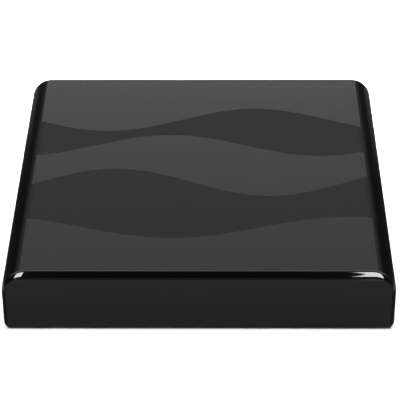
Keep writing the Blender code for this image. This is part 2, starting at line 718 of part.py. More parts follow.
def build_base():
    """The bottom plate: side lips, screw pads, posts for the board and the cage, clips, vents."""
    half = CAVITY_HALF - SEAT_GAP
    y0 = FRONT_CAVITY + SEAT_GAP
    y1 = REAR_CAVITY - SEAT_GAP
    tongue = CASE_WIDTH / 2 - SIDE_RIM - LEDGE_WIDTH - SEAT_GAP
    tongue_y0, tongue_y1 = WINDOW_BACK + SEAT_GAP, PANEL_INNER - SEAT_GAP
    plan = [
        (tongue, tongue_y0),
        (tongue, y0),
        (half, y0),
        (half, y1),
        (tongue, y1),
        (tongue, tongue_y1),
    ]
    plan += [(-x, y) for x, y in reversed(plan)]
    base = prism(plan, "Z", CASE_BOTTOM, FLOOR_TOP, "base_plate")
    root = FLOOR_TOP - SINK
    solids, cutters = [], []
    for side, end in ((-1, SENSOR_BOARD_X0), (1, SENSOR_BOARD_X1)):
        x0, x1 = sorted((side * (half - LIP_STEP), side * (half - LIP_STEP - LIP_THICK)))
        solids.append(box(x0, x1, y0 + LIP_STEP, y1 - LIP_STEP, root, FLOOR_TOP + LIP_HEIGHT))
        solids.append(prism(clip_outline(end, side), "Z", root, FLOOR_TOP + CLIP_HEIGHT))
    cutters.append(prism(bezel_outline(BEZEL_GAP), "X", half - LIP_THICK - OVERRUN, half + OVERRUN))
    cutters += vent_field(SINK_X, SINK_Y)
    cutters += vent_field((CAGE_X0 + CAGE_X1) / 2, BAY_Y)
    low = CASE_BOTTOM - OVERRUN
    head_seat = CASE_BOTTOM + CASE_HEAD_SINK + CASE_HEAD_HEIGHT + SEAT_GAP
    for x, y in corner_places(BOSS_INSET).values():
        solids.append(cylinder((x, y, root), PAD_RADIUS, PAD_TOP - root))
        cutters.append(cylinder((x, y, low), CASE_HEAD_RADIUS + SEAT_GAP, head_seat - low))
        cutters.append(cylinder((x, y, low), CASE_SHANK_RADIUS + HOLE_GAP, PAD_TOP + OVERRUN - low))
    for x, y in corner_places(FOOT_INSET).values():
        cutters.append(cylinder((x, y, low), FOOT_RADIUS + SEAT_GAP, OVERRUN + FOOT_SINK))
    posts = [(x, y, POST_TOP, PART_Z) for x, y in POST_PLACES]
    posts += [(x, y, EAR_Z - SEAT_GAP, EAR_SEAT) for x in EAR_XS for y in EAR_YS]
    for x, y, top, head_seat in posts:
        bore_low = head_seat - SMALL_SHANK_LENGTH - SMALL_BORE_ROOM
        solids.append(cylinder((x, y, root), POST_RADIUS, top - root))
        bore = SMALL_SHANK_RADIUS + THREAD_GAP
        cutters.append(cylinder((x, y, bore_low), bore, top + OVERRUN - bore_low))
    fuse(base, *solids)
    cut(base, *cutters)
    finish(base, "base_plate", "satin_black")


def clip_outline(end, side):
    """Plan of a clip on the floor, slotted for the sensor board's end on that side."""
    grip = end - side * CLIP_HOLD
    seat = end + side * SEAT_GAP
    outer = seat + side * CLIP_WALL
    slot_y0 = SENSOR_BOARD_Y - SEAT_GAP
    slot_y1 = SENSOR_BOARD_Y + SENSOR_BOARD_THICK + SEAT_GAP
    return [
        (outer, slot_y0 - CLIP_WALL),
        (outer, slot_y1 + CLIP_WALL),
        (grip, slot_y1 + CLIP_WALL),
        (grip, slot_y1),
        (seat, slot_y1),
        (seat, slot_y0),
        (grip, slot_y0),
        (grip, slot_y0 - CLIP_WALL),
    ]


def build_feet():
    """Four rubber feet in their pockets."""
    height = FOOT_STAND + FOOT_SINK - SEAT_GAP
    profile = [
        (0, height),
        (FOOT_RADIUS, height),
        (FOOT_RADIUS, FOOT_BEVEL),
        (FOOT_RADIUS - FOOT_BEVEL, 0),
        (0, 0),
    ]
    for corner, (x, y) in corner_places(FOOT_INSET).items():
        finish(turned(profile, "Z", (x, y, 0)), f"foot_{corner}", "rubber", smooth=True)


def build_screws():
    """Case screws from below, board and cage screws from above."""
    case_profile = [
        (radius, -height)
        for radius, height in pan_profile(
            CASE_HEAD_RADIUS, CASE_HEAD_HEIGHT, CASE_SHANK_RADIUS, CASE_SHANK_LENGTH
        )
    ]
    seat = CASE_BOTTOM + CASE_HEAD_SINK + CASE_HEAD_HEIGHT
    for corner, (x, y) in corner_places(BOSS_INSET).items():
        screw = turned(case_profile, "Z", (x, y, seat))
        finish(screw, f"case_screw_{corner}", "black_screw", smooth=True)
    small = pan_profile(SMALL_HEAD_RADIUS, SMALL_HEAD_HEIGHT, SMALL_SHANK_RADIUS, SMALL_SHANK_LENGTH)
    for i, (x, y) in enumerate(POST_PLACES, 1):
        screw = turned(small, "Z", (x, y, PART_Z))
        finish(screw, f"board_screw_{i}", "zinc_steel", smooth=True)
    ears = [(x, y) for y in EAR_YS for x in EAR_XS]
    for i, (x, y) in enumerate(ears, 1):
        screw = turned(small, "Z", (x, y, EAR_SEAT))
        finish(screw, f"cage_screw_{i}", "zinc_steel", smooth=True)


def build_cage():
    """The folded steel channel that the tray runs in, with four ears."""
    inner = CAGE_HALF - CAGE_SHEET
    lip = inner - TRAY_WALL
    side = [
        (-CAGE_HALF, CAGE_Z),
        (CAGE_HALF, CAGE_Z),
        (CAGE_HALF, CAGE_TOP),
        (lip, CAGE_TOP),
        (lip, CAGE_TOP - CAGE_SHEET),
        (inner, CAGE_TOP - CAGE_SHEET),
        (inner, CAGE_Z + CAGE_SHEET),
        (-inner, CAGE_Z + CAGE_SHEET),
        (-inner, CAGE_TOP - CAGE_SHEET),
        (-lip, CAGE_TOP - CAGE_SHEET),
        (-lip, CAGE_TOP),
        (-CAGE_HALF, CAGE_TOP),
    ]
    cage = prism([(BAY_Y + y, z) for y, z in side], "X", CAGE_X0, CAGE_X1, "drive_cage")
    for x in EAR_XS:
        for wall, end in ((CAGE_Y0, CAGE_Y0 - EAR_LENGTH), (CAGE_Y1, CAGE_Y1 + EAR_LENGTH)):
            inward = SINK if wall > end else -SINK
            y0, y1 = sorted((wall + inward, end))
            across = EAR_WIDTH / 2
            fuse(cage, box(x - across, x + across, y0, y1, EAR_Z, EAR_Z + CAGE_SHEET))
            hole = SMALL_SHANK_RADIUS + HOLE_GAP
            place = (x, (wall + end) / 2, EAR_Z - OVERRUN)
            cut(cage, cylinder(place, hole, CAGE_SHEET + 2 * OVERRUN))
    middle = (CAGE_X0 + CAGE_X1) / 2
    for side_x in (-1, 1):
        x = middle + side_x * (CAGE_X1 - CAGE_X0) / 4
        across = CAGE_WINDOW_SHARE * (CAGE_X1 - CAGE_X0) / 2
        along = inner - CAGE_WINDOW_MARGIN
        window = rectangle(x - across, x + across, BAY_Y - along, BAY_Y + along, TRAY_WINDOW_CORNER)
        cut(cage, prism(window, "Z", CAGE_Z - OVERRUN, CAGE_Z + CAGE_SHEET + OVERRUN / 2))
    finish(cage, "drive_cage", "zinc_steel")


def drive_holes():
    """Places of the drive's four mounting holes."""
    half = DRIVE_WIDTH / 2 - DRIVE_HOLE_INSET
    xs = (DRIVE_X0 + DRIVE_HOLE_NEAR, DRIVE_X1 - DRIVE_HOLE_FAR)
    return [(x, BAY_Y + side * half) for x in xs for side in (-1, 1)]


def countersunk_profile(grow):
    """Half section of a countersunk screw that points up, its head's face at height 0."""
    head = DRIVE_SCREW_HEAD_RADIUS + grow
    shank = DRIVE_SCREW_SHANK_RADIUS + grow
    return [
        (0, DRIVE_SCREW_LENGTH + grow),
        (shank, DRIVE_SCREW_LENGTH + grow),
        (shank, DRIVE_SCREW_HEAD_HEIGHT),
        (head, 0),
        (head, -grow),
        (0, -grow),
    ]


def build_drive():
    """The hard drive: cast housing, pressed lid, circuit board and plug."""
    y0, y1 = BAY_Y - DRIVE_WIDTH / 2, BAY_Y + DRIVE_WIDTH / 2
    lid_low = DRIVE_TOP - DRIVE_HUB_RISE - DRIVE_LID_THICK
    outline = rectangle(DRIVE_X0, DRIVE_X1, y0, y1, DRIVE_CORNER)
    housing = prism(outline, "Z", DRIVE_Z, lid_low - SEAT_GAP)
    half = PLUG_WIDTH / 2 + SEAT_GAP
    notch_x = DRIVE_X0 + PLUG_NOTCH_DEPTH
    notch_top = PLUG_Z + PLUG_BODY_HEIGHT / 2 + PLUG_NOTCH_ROOM
    cut(
        housing,
        box(DRIVE_X0 - OVERRUN, notch_x, PLUG_Y - half, PLUG_Y + half, DRIVE_Z - OVERRUN, notch_top),
    )
    board_x = (notch_x + SEAT_GAP, notch_x + SEAT_GAP + DRIVE_BOARD_LENGTH)
    board_y = (y0 + DRIVE_BOARD_INSET, y1 - DRIVE_BOARD_INSET)
    board_z = (DRIVE_Z + DRIVE_BOARD_SINK, DRIVE_Z + DRIVE_BOARD_SINK + DRIVE_BOARD_THICK)
    reach = DRIVE_SCREW_HEAD_RADIUS + SEAT_GAP
    near_holes = [(x, y) for x, y in drive_holes() if x < board_x[1] + reach]
    cut(
        housing,
        box(
            board_x[0] - SEAT_GAP,
            board_x[1] + SEAT_GAP,
            board_y[0] - SEAT_GAP,
            board_y[1] + SEAT_GAP,
            DRIVE_Z - OVERRUN,
            board_z[1] + SEAT_GAP,
        ),
    )
    screw_z = TRAY_Z + DRIVE_SCREW_SINK
    for x, y in drive_holes():
        cut(housing, turned(countersunk_profile(CONE_GAP), "Z", (x, y, screw_z)))
    finish(housing, "drive_housing", "cast_aluminium", smooth=True)

    board = box(*board_x, *board_y, *board_z)
    for x, y in near_holes:
        cut(board, cylinder((x, y, board_z[0] - OVERRUN), reach, DRIVE_BOARD_THICK + 2 * OVERRUN))
    finish(board, "drive_board", "green_board")

    inset = DRIVE_LID_INSET
    sheet = rectangle(DRIVE_X0 + inset, DRIVE_X1 - inset, y0 + inset, y1 - inset, DRIVE_CORNER)
    lid = prism(sheet, "Z", lid_low, lid_low + DRIVE_LID_THICK)
    raised = DRIVE_LID_THICK - LID_BITE + DRIVE_HUB_RISE
    hub_x = DRIVE_X0 + DRIVE_HUB_BACK
    fuse(lid, cylinder((hub_x, BAY_Y, lid_low + LID_BITE), DRIVE_HUB_RADIUS, raised, steps=2 * ROUND_STEPS))
    rivets = [DRIVE_X0 + DRIVE_RIVET_INSET, (DRIVE_X0 + DRIVE_X1) / 2, DRIVE_X1 - DRIVE_RIVET_INSET]
    for x in rivets:
        for y in (y0 + DRIVE_RIVET_INSET, y1 - DRIVE_RIVET_INSET):
            fuse(lid, cylinder((x, y, lid_low + LID_BITE), DRIVE_RIVET_RADIUS, raised))
    finish(lid, "drive_lid", "polished_steel", smooth=True)

    plug_back = notch_x - SEAT_GAP
    plug_face = plug_back - PLUG_BODY_DEPTH
    high = PLUG_BODY_HEIGHT / 2
    across = PLUG_WIDTH / 2
    plug = box(plug_face, plug_back, PLUG_Y - across, PLUG_Y + across, PLUG_Z - high, PLUG_Z + high)
    for blade_y0, blade_y1 in blades():
        thick = BLADE_THICK / 2
        blade_x0 = plug_face - BLADE_LENGTH
        blade = box(blade_x0, plug_face + SINK, blade_y0, blade_y1, PLUG_Z - thick, PLUG_Z + thick)
        fuse(plug, blade)
    finish(plug, "drive_plug", "black_plastic")


LID_BITE = 0.3 * MM


def blades():
    """The two blades of the drive's plug as (low, high) along Y: data, then power."""
    total = DATA_BLADE_WIDTH + BLADE_SPACE + POWER_BLADE_WIDTH
    start = PLUG_Y - total / 2
    power = start + DATA_BLADE_WIDTH + BLADE_SPACE
    return [(start, start + DATA_BLADE_WIDTH), (power, power + POWER_BLADE_WIDTH)]


def build_tray():
    """The moulded carrier under and round the drive."""
    half = TRAY_WIDTH / 2
    y0, y1 = BAY_Y - half, BAY_Y + half
    tray = box(TRAY_X0, TRAY_X1, y0, y1, TRAY_Z, TRAY_FLOOR_TOP, "drive_tray")
    fuse(tray, box(TRAY_X0, TRAY_X1, y0, y0 + TRAY_WALL, TRAY_FLOOR_TOP - SINK, TRAY_SIDE_TOP))
    fuse(tray, box(TRAY_X0, TRAY_X1, y1 - TRAY_WALL, y1, TRAY_FLOOR_TOP - SINK, TRAY_SIDE_TOP))
    head_x = TRAY_X1 - TRAY_HEAD
    fuse(tray, box(head_x, TRAY_X1, y0 + SINK, y1 - SINK, TRAY_FLOOR_TOP - SINK, TRAY_SIDE_TOP))
    inner = half - TRAY_WALL - SEAT_GAP
    fuse(tray, box(head_x, TRAY_X1, BAY_Y - inner, BAY_Y + inner, TRAY_SIDE_TOP - SINK, DRIVE_TOP))
    middle = (DRIVE_X0 + DRIVE_X1) / 2
    for side in (-1, 1):
        x = middle + side * (DRIVE_X1 - DRIVE_X0) / 4
        across = TRAY_WINDOW_SHARE * DRIVE_LENGTH / 2
        along = DRIVE_WIDTH / 2 - DRIVE_HOLE_INSET - TRAY_WINDOW_MARGIN
        window = rectangle(x - across, x + across, BAY_Y - along, BAY_Y + along, TRAY_WINDOW_CORNER)
        cut(tray, prism(window, "Z", TRAY_Z - OVERRUN, TRAY_FLOOR_TOP + OVERRUN))
    for x, y in drive_holes():
        cut(tray, turned(countersunk_profile(CONE_GAP), "Z", (x, y, TRAY_Z + DRIVE_SCREW_SINK)))
        mouth = DRIVE_SCREW_HEAD_RADIUS + CONE_GAP
        cut(tray, cylinder((x, y, TRAY_Z - OVERRUN), mouth, OVERRUN + DRIVE_SCREW_SINK))
    for y in bezel_screw_ys():
        hole = BEZEL_SCREW_SHANK_RADIUS + HOLE_GAP
        place = (head_x - OVERRUN, y, bezel_screw_z())
        cut(tray, cylinder(place, hole, TRAY_HEAD + 2 * OVERRUN, "X"))
    finish(tray, "drive_tray", "satin_black")
    pieces = [tray]
    for i, (x, y) in enumerate(drive_holes(), 1):
        screw = turned(countersunk_profile(0), "Z", (x, y, TRAY_Z + DRIVE_SCREW_SINK))
        pieces.append(finish(screw, f"drive_screw_{i}", "zinc_steel", smooth=True))
    return pieces


def bezel_screw_ys():
    reach = TRAY_WIDTH / 2 - TRAY_WALL - BEZEL_SCREW_INSET
    return (BAY_Y - reach, BAY_Y + reach)


def bezel_screw_z():
    return TRAY_FLOOR_TOP + BEZEL_SCREW_DROP


def lever_places():
    """Pivot (x, y), the far end of the lever along Y, and the x of its back."""
    pivot_x = RIGHT - LEVER_GAP / 2 - LEVER_THICK / 2
    pivot_y = BAY_Y + LEVER_OFFSET - LEVER_LENGTH / 2 + LEVER_THICK / 2
    return pivot_x, pivot_y, pivot_y - LEVER_THICK / 2 + LEVER_LENGTH


def build_bezel():
    """The tray's face plate with the lever's recess, the finger pocket and the pin's bore."""
    pivot_x, pivot_y, tip_y = lever_places()
    bezel = prism(bezel_outline(0), "X", BEZEL_BACK, RIGHT, "tray_bezel")
    high = LEVER_HEIGHT / 2 + LEVER_GAP
    floor_x = pivot_x - LEVER_THICK / 2 - LEVER_GAP
    recess = rectangle(
        pivot_y - LEVER_THICK / 2 - LEVER_GAP,
        tip_y + LEVER_GAP,
        BEZEL_MID_Z - high,
        BEZEL_MID_Z + high,
    )
    cut(bezel, prism(recess, "X", floor_x, RIGHT + OVERRUN))
    pocket = rectangle(
        tip_y - FINGER_UNDER,
        tip_y - FINGER_UNDER + FINGER_LENGTH,
        BEZEL_MID_Z - high,
        BEZEL_MID_Z + high,
        LEVER_CORNER,
    )
    cut(bezel, prism(pocket, "X", BEZEL_BACK + FINGER_FLOOR, RIGHT + OVERRUN))
    bore = PIN_RADIUS + PIN_GAP
    pin_low = BEZEL_MID_Z - high - PIN_SEAT
    cut(bezel, cylinder((pivot_x, pivot_y, pin_low - PIN_GAP), bore, BEZEL_HIGH + OVERRUN - pin_low))
    for y in bezel_screw_ys():
        depth = BEZEL_SCREW_LENGTH - TRAY_HEAD - SEAT_GAP + SEAT_GAP
        place = (BEZEL_BACK - OVERRUN, y, bezel_screw_z())
        cut(bezel, cylinder(place, BEZEL_SCREW_SHANK_RADIUS + THREAD_GAP, OVERRUN + depth, "X"))
    finish(bezel, "tray_bezel", "gloss_black", smooth=True)

    pin = cylinder((pivot_x, pivot_y, pin_low), PIN_RADIUS, BEZEL_HIGH - SEAT_GAP - pin_low)
    finish(pin, "lever_pin", "polished_steel", smooth=True)
    profile = pan_profile(
        BEZEL_SCREW_HEAD_RADIUS, BEZEL_SCREW_HEAD_HEIGHT, BEZEL_SCREW_SHANK_RADIUS, BEZEL_SCREW_LENGTH
    )
    screws = []
    for i, y in enumerate(bezel_screw_ys(), 1):
        along = [(radius, -height) for radius, height in profile]
        place = (TRAY_X1 - TRAY_HEAD - SEAT_GAP, y, bezel_screw_z())
        screw = turned(along, "X", place)
        screws.append(finish(screw, f"bezel_screw_{i}", "zinc_steel", smooth=True))
    return [bezel, pin, *screws]


def build_lever():
    """The pull lever: a bar with a round knuckle on the pin and a thinned tip."""
    pivot_x, pivot_y, tip_y = lever_places()
    radius = LEVER_THICK / 2
    back, face = pivot_x - radius, pivot_x + radius
    turns = [math.pi / 2 + math.pi * i / LEVER_STEPS for i in range(LEVER_STEPS + 1)]
    knuckle = [(pivot_x + radius * math.sin(t), pivot_y - radius * -math.cos(t)) for t in turns]
    outline = [
        (face, tip_y - LEVER_CORNER),
        (face - LEVER_CORNER, tip_y),
        (back + LEVER_TIP_CUT, tip_y),
        (back, tip_y - FINGER_UNDER),
        *reversed(knuckle),
    ]
    low = BEZEL_MID_Z - LEVER_HEIGHT / 2
    lever = prism(outline, "Z", low, low + LEVER_HEIGHT)
    bore = PIN_RADIUS + PIN_GAP
    cut(lever, cylinder((pivot_x, pivot_y, low - OVERRUN), bore, LEVER_HEIGHT + 2 * OVERRUN))
    return finish(lever, "tray_lever", "satin_black", smooth=True)


LEVER_STEPS = 8


def build_boards():
    """The L-shaped main board round the drive bay, and the socket that the drive plugs into."""
    outline = [
        (BOARD_X0, BOARD_Y0),
        (ARM_X1, BOARD_Y0),
        (ARM_X1, ARM_Y0),
        (BOARD_X1, ARM_Y0),
        (BOARD_X1, BACK - BOSS_KEEP),
        (RIGHT - BOSS_KEEP, BACK - BOSS_KEEP),
        (RIGHT - BOSS_KEEP, BOARD_Y1),
        (-RIGHT + BOSS_KEEP, BOARD_Y1),
        (-RIGHT + BOSS_KEEP, BACK - BOSS_KEEP),
        (BOARD_X0, BACK - BOSS_KEEP),
    ]
    board = prism(outline, "Z", BOARD_Z, BOARD_TOP, "main_board")
    for x, y in POST_PLACES:
        hole = SMALL_SHANK_RADIUS + HOLE_GAP
        cut(board, cylinder((x, y, BOARD_Z - OVERRUN), hole, BOARD_THICK + 2 * OVERRUN))
    finish(board, "main_board", "green_board")

    tip = DRIVE_X0 + PLUG_NOTCH_DEPTH - SEAT_GAP - PLUG_BODY_DEPTH - SEAT_GAP
    half = PLUG_WIDTH / 2 - SOCKET_SIDE_GAP
    nose = SOCKET_NOSE_HEIGHT / 2
    seat_x = (ARM_X1 - SOCKET_SEAT, ARM_X1)
    socket = box(seat_x[0], tip, PLUG_Y - half, PLUG_Y + half, PLUG_Z - nose, PLUG_Z + nose)
    fuse(socket, box(*seat_x, PLUG_Y - half, PLUG_Y + half, PART_Z, PLUG_Z))
    for y0, y1 in blades():
        thick = BLADE_THICK / 2 + SEAT_GAP
        slot_x = tip - BLADE_LENGTH - SLOT_ROOM
        slot = box(slot_x, tip + OVERRUN, y0 - SEAT_GAP, y1 + SEAT_GAP, PLUG_Z - thick, PLUG_Z + thick)
        cut(socket, slot)
    finish(socket, "drive_socket", "black_plastic")


def build_board_parts():
    """Processor with its heat sink, memory, coil and capacitors."""
    half = CHIP_SIZE / 2
    chip = box(SINK_X - half, SINK_X + half, SINK_Y - half, SINK_Y + half, PART_Z, PART_Z + CHIP_THICK)
    finish(chip, "processor", "black_plastic")
    low = PART_Z + CHIP_THICK + SEAT_GAP
    half = SINK_SIZE / 2
    sink = box(SINK_X - half, SINK_X + half, SINK_Y - half, SINK_Y + half, low, low + SINK_HEIGHT)
    pitch = (SINK_SIZE - SINK_FIN) / (SINK_FIN_COUNT - 1)
    for i in range(SINK_FIN_COUNT - 1):
        x = SINK_X - half + SINK_FIN + pitch * i
        lane = box(x, x + pitch - SINK_FIN, SINK_Y - half - OVERRUN, SINK_Y + half + OVERRUN,
                   low + SINK_PLATE, low + SINK_HEIGHT + OVERRUN)
        cut(sink, lane)
    finish(sink, "heat_sink", "cast_aluminium")

    x = SINK_X + SINK_SIZE / 2 + ROW_SPACE
    for i in (1, 2):
        chip = box(x, x + MEMORY_LENGTH, ROW_Y1 - MEMORY_WIDTH, ROW_Y1, PART_Z, PART_Z + MEMORY_THICK)
        finish(chip, f"memory_chip_{i}", "black_plastic")
        x += MEMORY_LENGTH + ROW_SPACE
    outline = rectangle(x, x + COIL_SIZE, ROW_Y1 - COIL_SIZE, ROW_Y1, COIL_CORNER)
    finish(prism(outline, "Z", PART_Z, PART_Z + COIL_HEIGHT), "power_coil", "black_plastic")
    x += COIL_SIZE + ROW_SPACE + CAPACITOR_RADIUS
    inner = CAPACITOR_RADIUS - CAPACITOR_GROOVE
    waist = CAPACITOR_GROOVE * 2
    profile = [
        (0, CAPACITOR_HEIGHT),
        (inner, CAPACITOR_HEIGHT),
        (CAPACITOR_RADIUS, CAPACITOR_HEIGHT - CAPACITOR_GROOVE),
        (CAPACITOR_RADIUS, waist * 2),
        (inner, waist + CAPACITOR_GROOVE),
        (CAPACITOR_RADIUS, waist),
        (CAPACITOR_RADIUS, 0),
        (0, 0),
    ]
    for i in (1, 2):
        can = turned(profile, "Z", (x, ROW_Y1 - CAPACITOR_RADIUS, PART_Z))
        finish(can, f"capacitor_{i}", "polished_steel", smooth=True)
        x += 2 * CAPACITOR_RADIUS + ROW_SPACE


def port_block(x, width, height, depth):
    """The plain body of a rear socket, its face level with the panel."""
    return box(x - width / 2, x + width / 2, PANEL_FACE - depth, PANEL_FACE, PART_Z, PART_Z + height)


def mouth(outline, depth):
    """A cutter that enters a socket from the back of the case."""
    return prism(outline, "Y", PANEL_FACE - depth, PANEL_FACE + OVERRUN)


def build_data_socket(name, x):
    block = port_block(x, DATA_PORT_WIDTH, DATA_PORT_HEIGHT, DATA_PORT_DEPTH)
    half = DATA_PORT_WIDTH / 2 - DATA_PORT_SHELL
    low, high = PART_Z + DATA_PORT_SHELL, PART_Z + DATA_PORT_HEIGHT - DATA_PORT_SHELL
    cut(block, mouth(rectangle(x - half, x + half, low, high), DATA_PORT_MOUTH_DEPTH))
    across = half - DATA_PORT_TONGUE_MARGIN
    top = high - DATA_PORT_TONGUE_MARGIN
    y0 = PANEL_FACE - DATA_PORT_MOUTH_DEPTH - SINK
    y1 = PANEL_FACE - DATA_PORT_TONGUE_BACK
    fuse(block, box(x - across, x + across, y0, y1, top - DATA_PORT_TONGUE, top))
    finish(block, name, "polished_steel")


def build_display(x):
    block = port_block(x, DISPLAY_WIDTH, DISPLAY_HEIGHT, DISPLAY_DEPTH)
    half = DISPLAY_WIDTH / 2 - DISPLAY_SHELL
    low, high = PART_Z + DISPLAY_SHELL, PART_Z + DISPLAY_HEIGHT - DISPLAY_SHELL
    outline = [
        (x - half + DISPLAY_CHAMFER, low),
        (x + half - DISPLAY_CHAMFER, low),
        (x + half, low + DISPLAY_CHAMFER),
        (x + half, high),
        (x - half, high),
        (x - half, low + DISPLAY_CHAMFER),
    ]
    cut(block, mouth(outline, DISPLAY_MOUTH_DEPTH))
    across = half - DISPLAY_TONGUE_MARGIN
    middle = (low + high) / 2
    y0 = PANEL_FACE - DISPLAY_MOUTH_DEPTH - SINK
    y1 = PANEL_FACE - DISPLAY_SHELL
    thick = DISPLAY_TONGUE / 2
    fuse(block, box(x - across, x + across, y0, y1, middle - thick, middle + thick))
    finish(block, "display_socket", "polished_steel")


def build_network(x):
    block = port_block(x, NETWORK_WIDTH, NETWORK_HEIGHT, NETWORK_DEPTH)
    low = PART_Z + NETWORK_MOUTH_RISE
    high = low + NETWORK_MOUTH_HEIGHT
    wide, narrow = NETWORK_MOUTH_WIDTH / 2, NETWORK_LATCH_WIDTH / 2
    drop = low - NETWORK_LATCH_DROP
    outline = [
        (x - wide, high),
        (x - wide, low),
        (x - narrow, low),
        (x - narrow, drop),
        (x + narrow, drop),
        (x + narrow, low),
        (x + wide, low),
        (x + wide, high),
    ]
    cut(block, mouth(outline, NETWORK_MOUTH_DEPTH))
    finish(block, "network_socket", "polished_steel")


def build_jack(name, x):
    block = port_block(x, JACK_WIDTH, JACK_HEIGHT, JACK_DEPTH)
    middle = PART_Z + JACK_HEIGHT / 2
    start = (x, PANEL_FACE - JACK_BORE_DEPTH, middle)
    cut(block, cylinder(start, JACK_BORE_RADIUS, JACK_BORE_DEPTH + OVERRUN, "Y"))
    finish(block, name, "black_plastic", smooth=True)


def build_dc_jack(x):
    block = port_block(x, DC_WIDTH, DC_HEIGHT, DC_DEPTH)
    middle = PART_Z + DC_HEIGHT / 2
    y0 = PANEL_FACE - DC_BORE_DEPTH
    cut(block, cylinder((x, y0, middle), DC_BORE_RADIUS, DC_BORE_DEPTH + OVERRUN, "Y"))
    length = DC_BORE_DEPTH - DC_PIN_SHORT + SINK
    fuse(block, cylinder((x, y0 - SINK, middle), DC_PIN_RADIUS, length, "Y"))
    finish(block, "dc_jack", "black_plastic", smooth=True)


def build_switch(x):
    """The mains-side rocker switch: its housing, and the rocker on two short pins."""
    housing = port_block(x, SWITCH_WIDTH, SWITCH_HEIGHT, SWITCH_DEPTH)
    middle = PART_Z + SWITCH_HEIGHT / 2
    across = ROCKER_LENGTH / 2 + ROCKER_END_GAP
    high = ROCKER_HEIGHT / 2 + ROCKER_SIDE_GAP
    cut(housing, mouth(rectangle(x - across, x + across, middle - high, middle + high), SWITCH_POCKET_DEPTH))
    pivot = (x, PANEL_FACE - ROCKER_PIVOT_DEPTH, middle)
    pin_half = ROCKER_HEIGHT / 2 + ROCKER_PIN_REACH
    bore_half = pin_half + ROCKER_PIN_GAP
    bore = (pivot[0], pivot[1], middle - bore_half)
    cut(housing, cylinder(bore, ROCKER_PIN_RADIUS + ROCKER_PIN_GAP, 2 * bore_half))
    finish(housing, "switch_housing", "black_plastic", smooth=True)

    tilt = math.radians(ROCKER_TILT_DEGREES)
    half = ROCKER_LENGTH / 2
    rise = ROCKER_PIVOT_DEPTH
    shoulder = rise - ROCKER_END_DEPTH
    turns = [math.pi * i / ROCKER_STEPS for i in range(ROCKER_STEPS + 1)]
    keel = [(-ROCKER_NECK * math.cos(t), -ROCKER_NECK * math.sin(t)) for t in turns]
    outline = [
        (half, shoulder),
        (half, rise + half * math.tan(tilt)),
        (0, rise),
        (-half, rise + half * math.tan(tilt)),
        (-half, shoulder),
        *keel,
    ]
    rocker = prism(outline, "Z", -ROCKER_HEIGHT / 2, ROCKER_HEIGHT / 2)
    fuse(rocker, cylinder((0, 0, -pin_half), ROCKER_PIN_RADIUS, 2 * pin_half))
    finish(rocker, "switch_rocker", "black_plastic", smooth=True)
    rocker.location = pivot
    rocker.rotation_euler.z = tilt


ROCKER_STEPS = 8


def build_sensor():
    """The small board behind the window, with its infrared receiver, lamp and ribbon."""
    y0, y1 = SENSOR_BOARD_Y, SENSOR_BOARD_Y + SENSOR_BOARD_THICK
    top = SENSOR_Z + SENSOR_BOARD_HEIGHT
    board = box(SENSOR_BOARD_X0, SENSOR_BOARD_X1, y0, y1, SENSOR_Z, top)
    finish(board, "sensor_board", "green_board")

    middle = SENSOR_Z + SENSOR_BOARD_HEIGHT / 2
    face = y0 - SEAT_GAP
    spread = LAMP_SHARE * (SENSOR_BOARD_X1 - SENSOR_BOARD_X0)
    x = SENSOR_BOARD_X - spread
    across, high = RECEIVER_WIDTH / 2, RECEIVER_HEIGHT / 2
    receiver = box(x - across, x + across, face - RECEIVER_DEPTH, face, middle - high, middle + high)
    radius = RECEIVER_LENS_RADIUS
    turns = [math.pi / 2 * i / CORNER_STEPS for i in range(CORNER_STEPS + 1)]
    dome = [(radius * math.cos(t), -radius * math.sin(t) * LENS_SHARE) for t in turns[:-1]]
    profile = [(0, SINK), (radius, SINK), *dome, (0, -radius * LENS_SHARE)]
    fuse(receiver, turned(profile, "Y", (x, face - RECEIVER_DEPTH, middle)))
    finish(receiver, "infrared_receiver", "black_plastic", smooth=True)

    x = SENSOR_BOARD_X + spread
    neck = LAMP_DEPTH - LAMP_RADIUS
    dome = [(LAMP_RADIUS * math.cos(t), -neck - LAMP_RADIUS * math.sin(t)) for t in turns[:-1]]
    profile = [(0, 0), (LAMP_RADIUS, 0), *dome, (0, -LAMP_DEPTH)]
    finish(turned(profile, "Y", (x, face, middle)), "status_lamp", "lamp_lens", smooth=True)

    x0 = SENSOR_BOARD_X - RIBBON_SOCKET_WIDTH / 2
    y0 = BOARD_Y0 + RIBBON_SOCKET_INSET
    top = PART_Z + RIBBON_SOCKET_HEIGHT
    socket = box(x0, x0 + RIBBON_SOCKET_WIDTH, y0, y0 + RIBBON_SOCKET_DEPTH, PART_Z, top)
    finish(socket, "ribbon_socket", "black_plastic")
    build_ribbon(y1 + SEAT_GAP, y0 - SEAT_GAP, PART_Z + RIBBON_SOCKET_HEIGHT / 2)


LENS_SHARE = 0.8


def build_ribbon(y0, y1, z1):
    """The flat cable from the sensor board to its socket, arched as it lies."""
    z0 = PART_Z + RIBBON_RISE
    middle = []
    for i in range(RIBBON_STEPS + 1):
        t = i / RIBBON_STEPS
        ease = t * t * (3 - 2 * t)
        lift = RIBBON_BULGE * math.sin(math.pi * t) ** 2
        middle.append(Vector((y0 + (y1 - y0) * t, z0 + (z1 - z0) * ease + lift)))
    upper, lower = [], []
    for i, point in enumerate(middle):
        ahead = middle[min(i + 1, RIBBON_STEPS)] - middle[max(i - 1, 0)]
        if i in (0, RIBBON_STEPS):
            ahead = Vector((1, 0))
        normal = Vector((-ahead.y, ahead.x)).normalized() * RIBBON_THICK / 2
        upper.append(tuple(point + normal))
        lower.append(tuple(point - normal))
    x0 = SENSOR_BOARD_X - RIBBON_WIDTH / 2
    ribbon = prism(lower + upper[::-1], "X", x0, x0 + RIBBON_WIDTH)
    finish(ribbon, "sensor_ribbon", "ribbon_white")


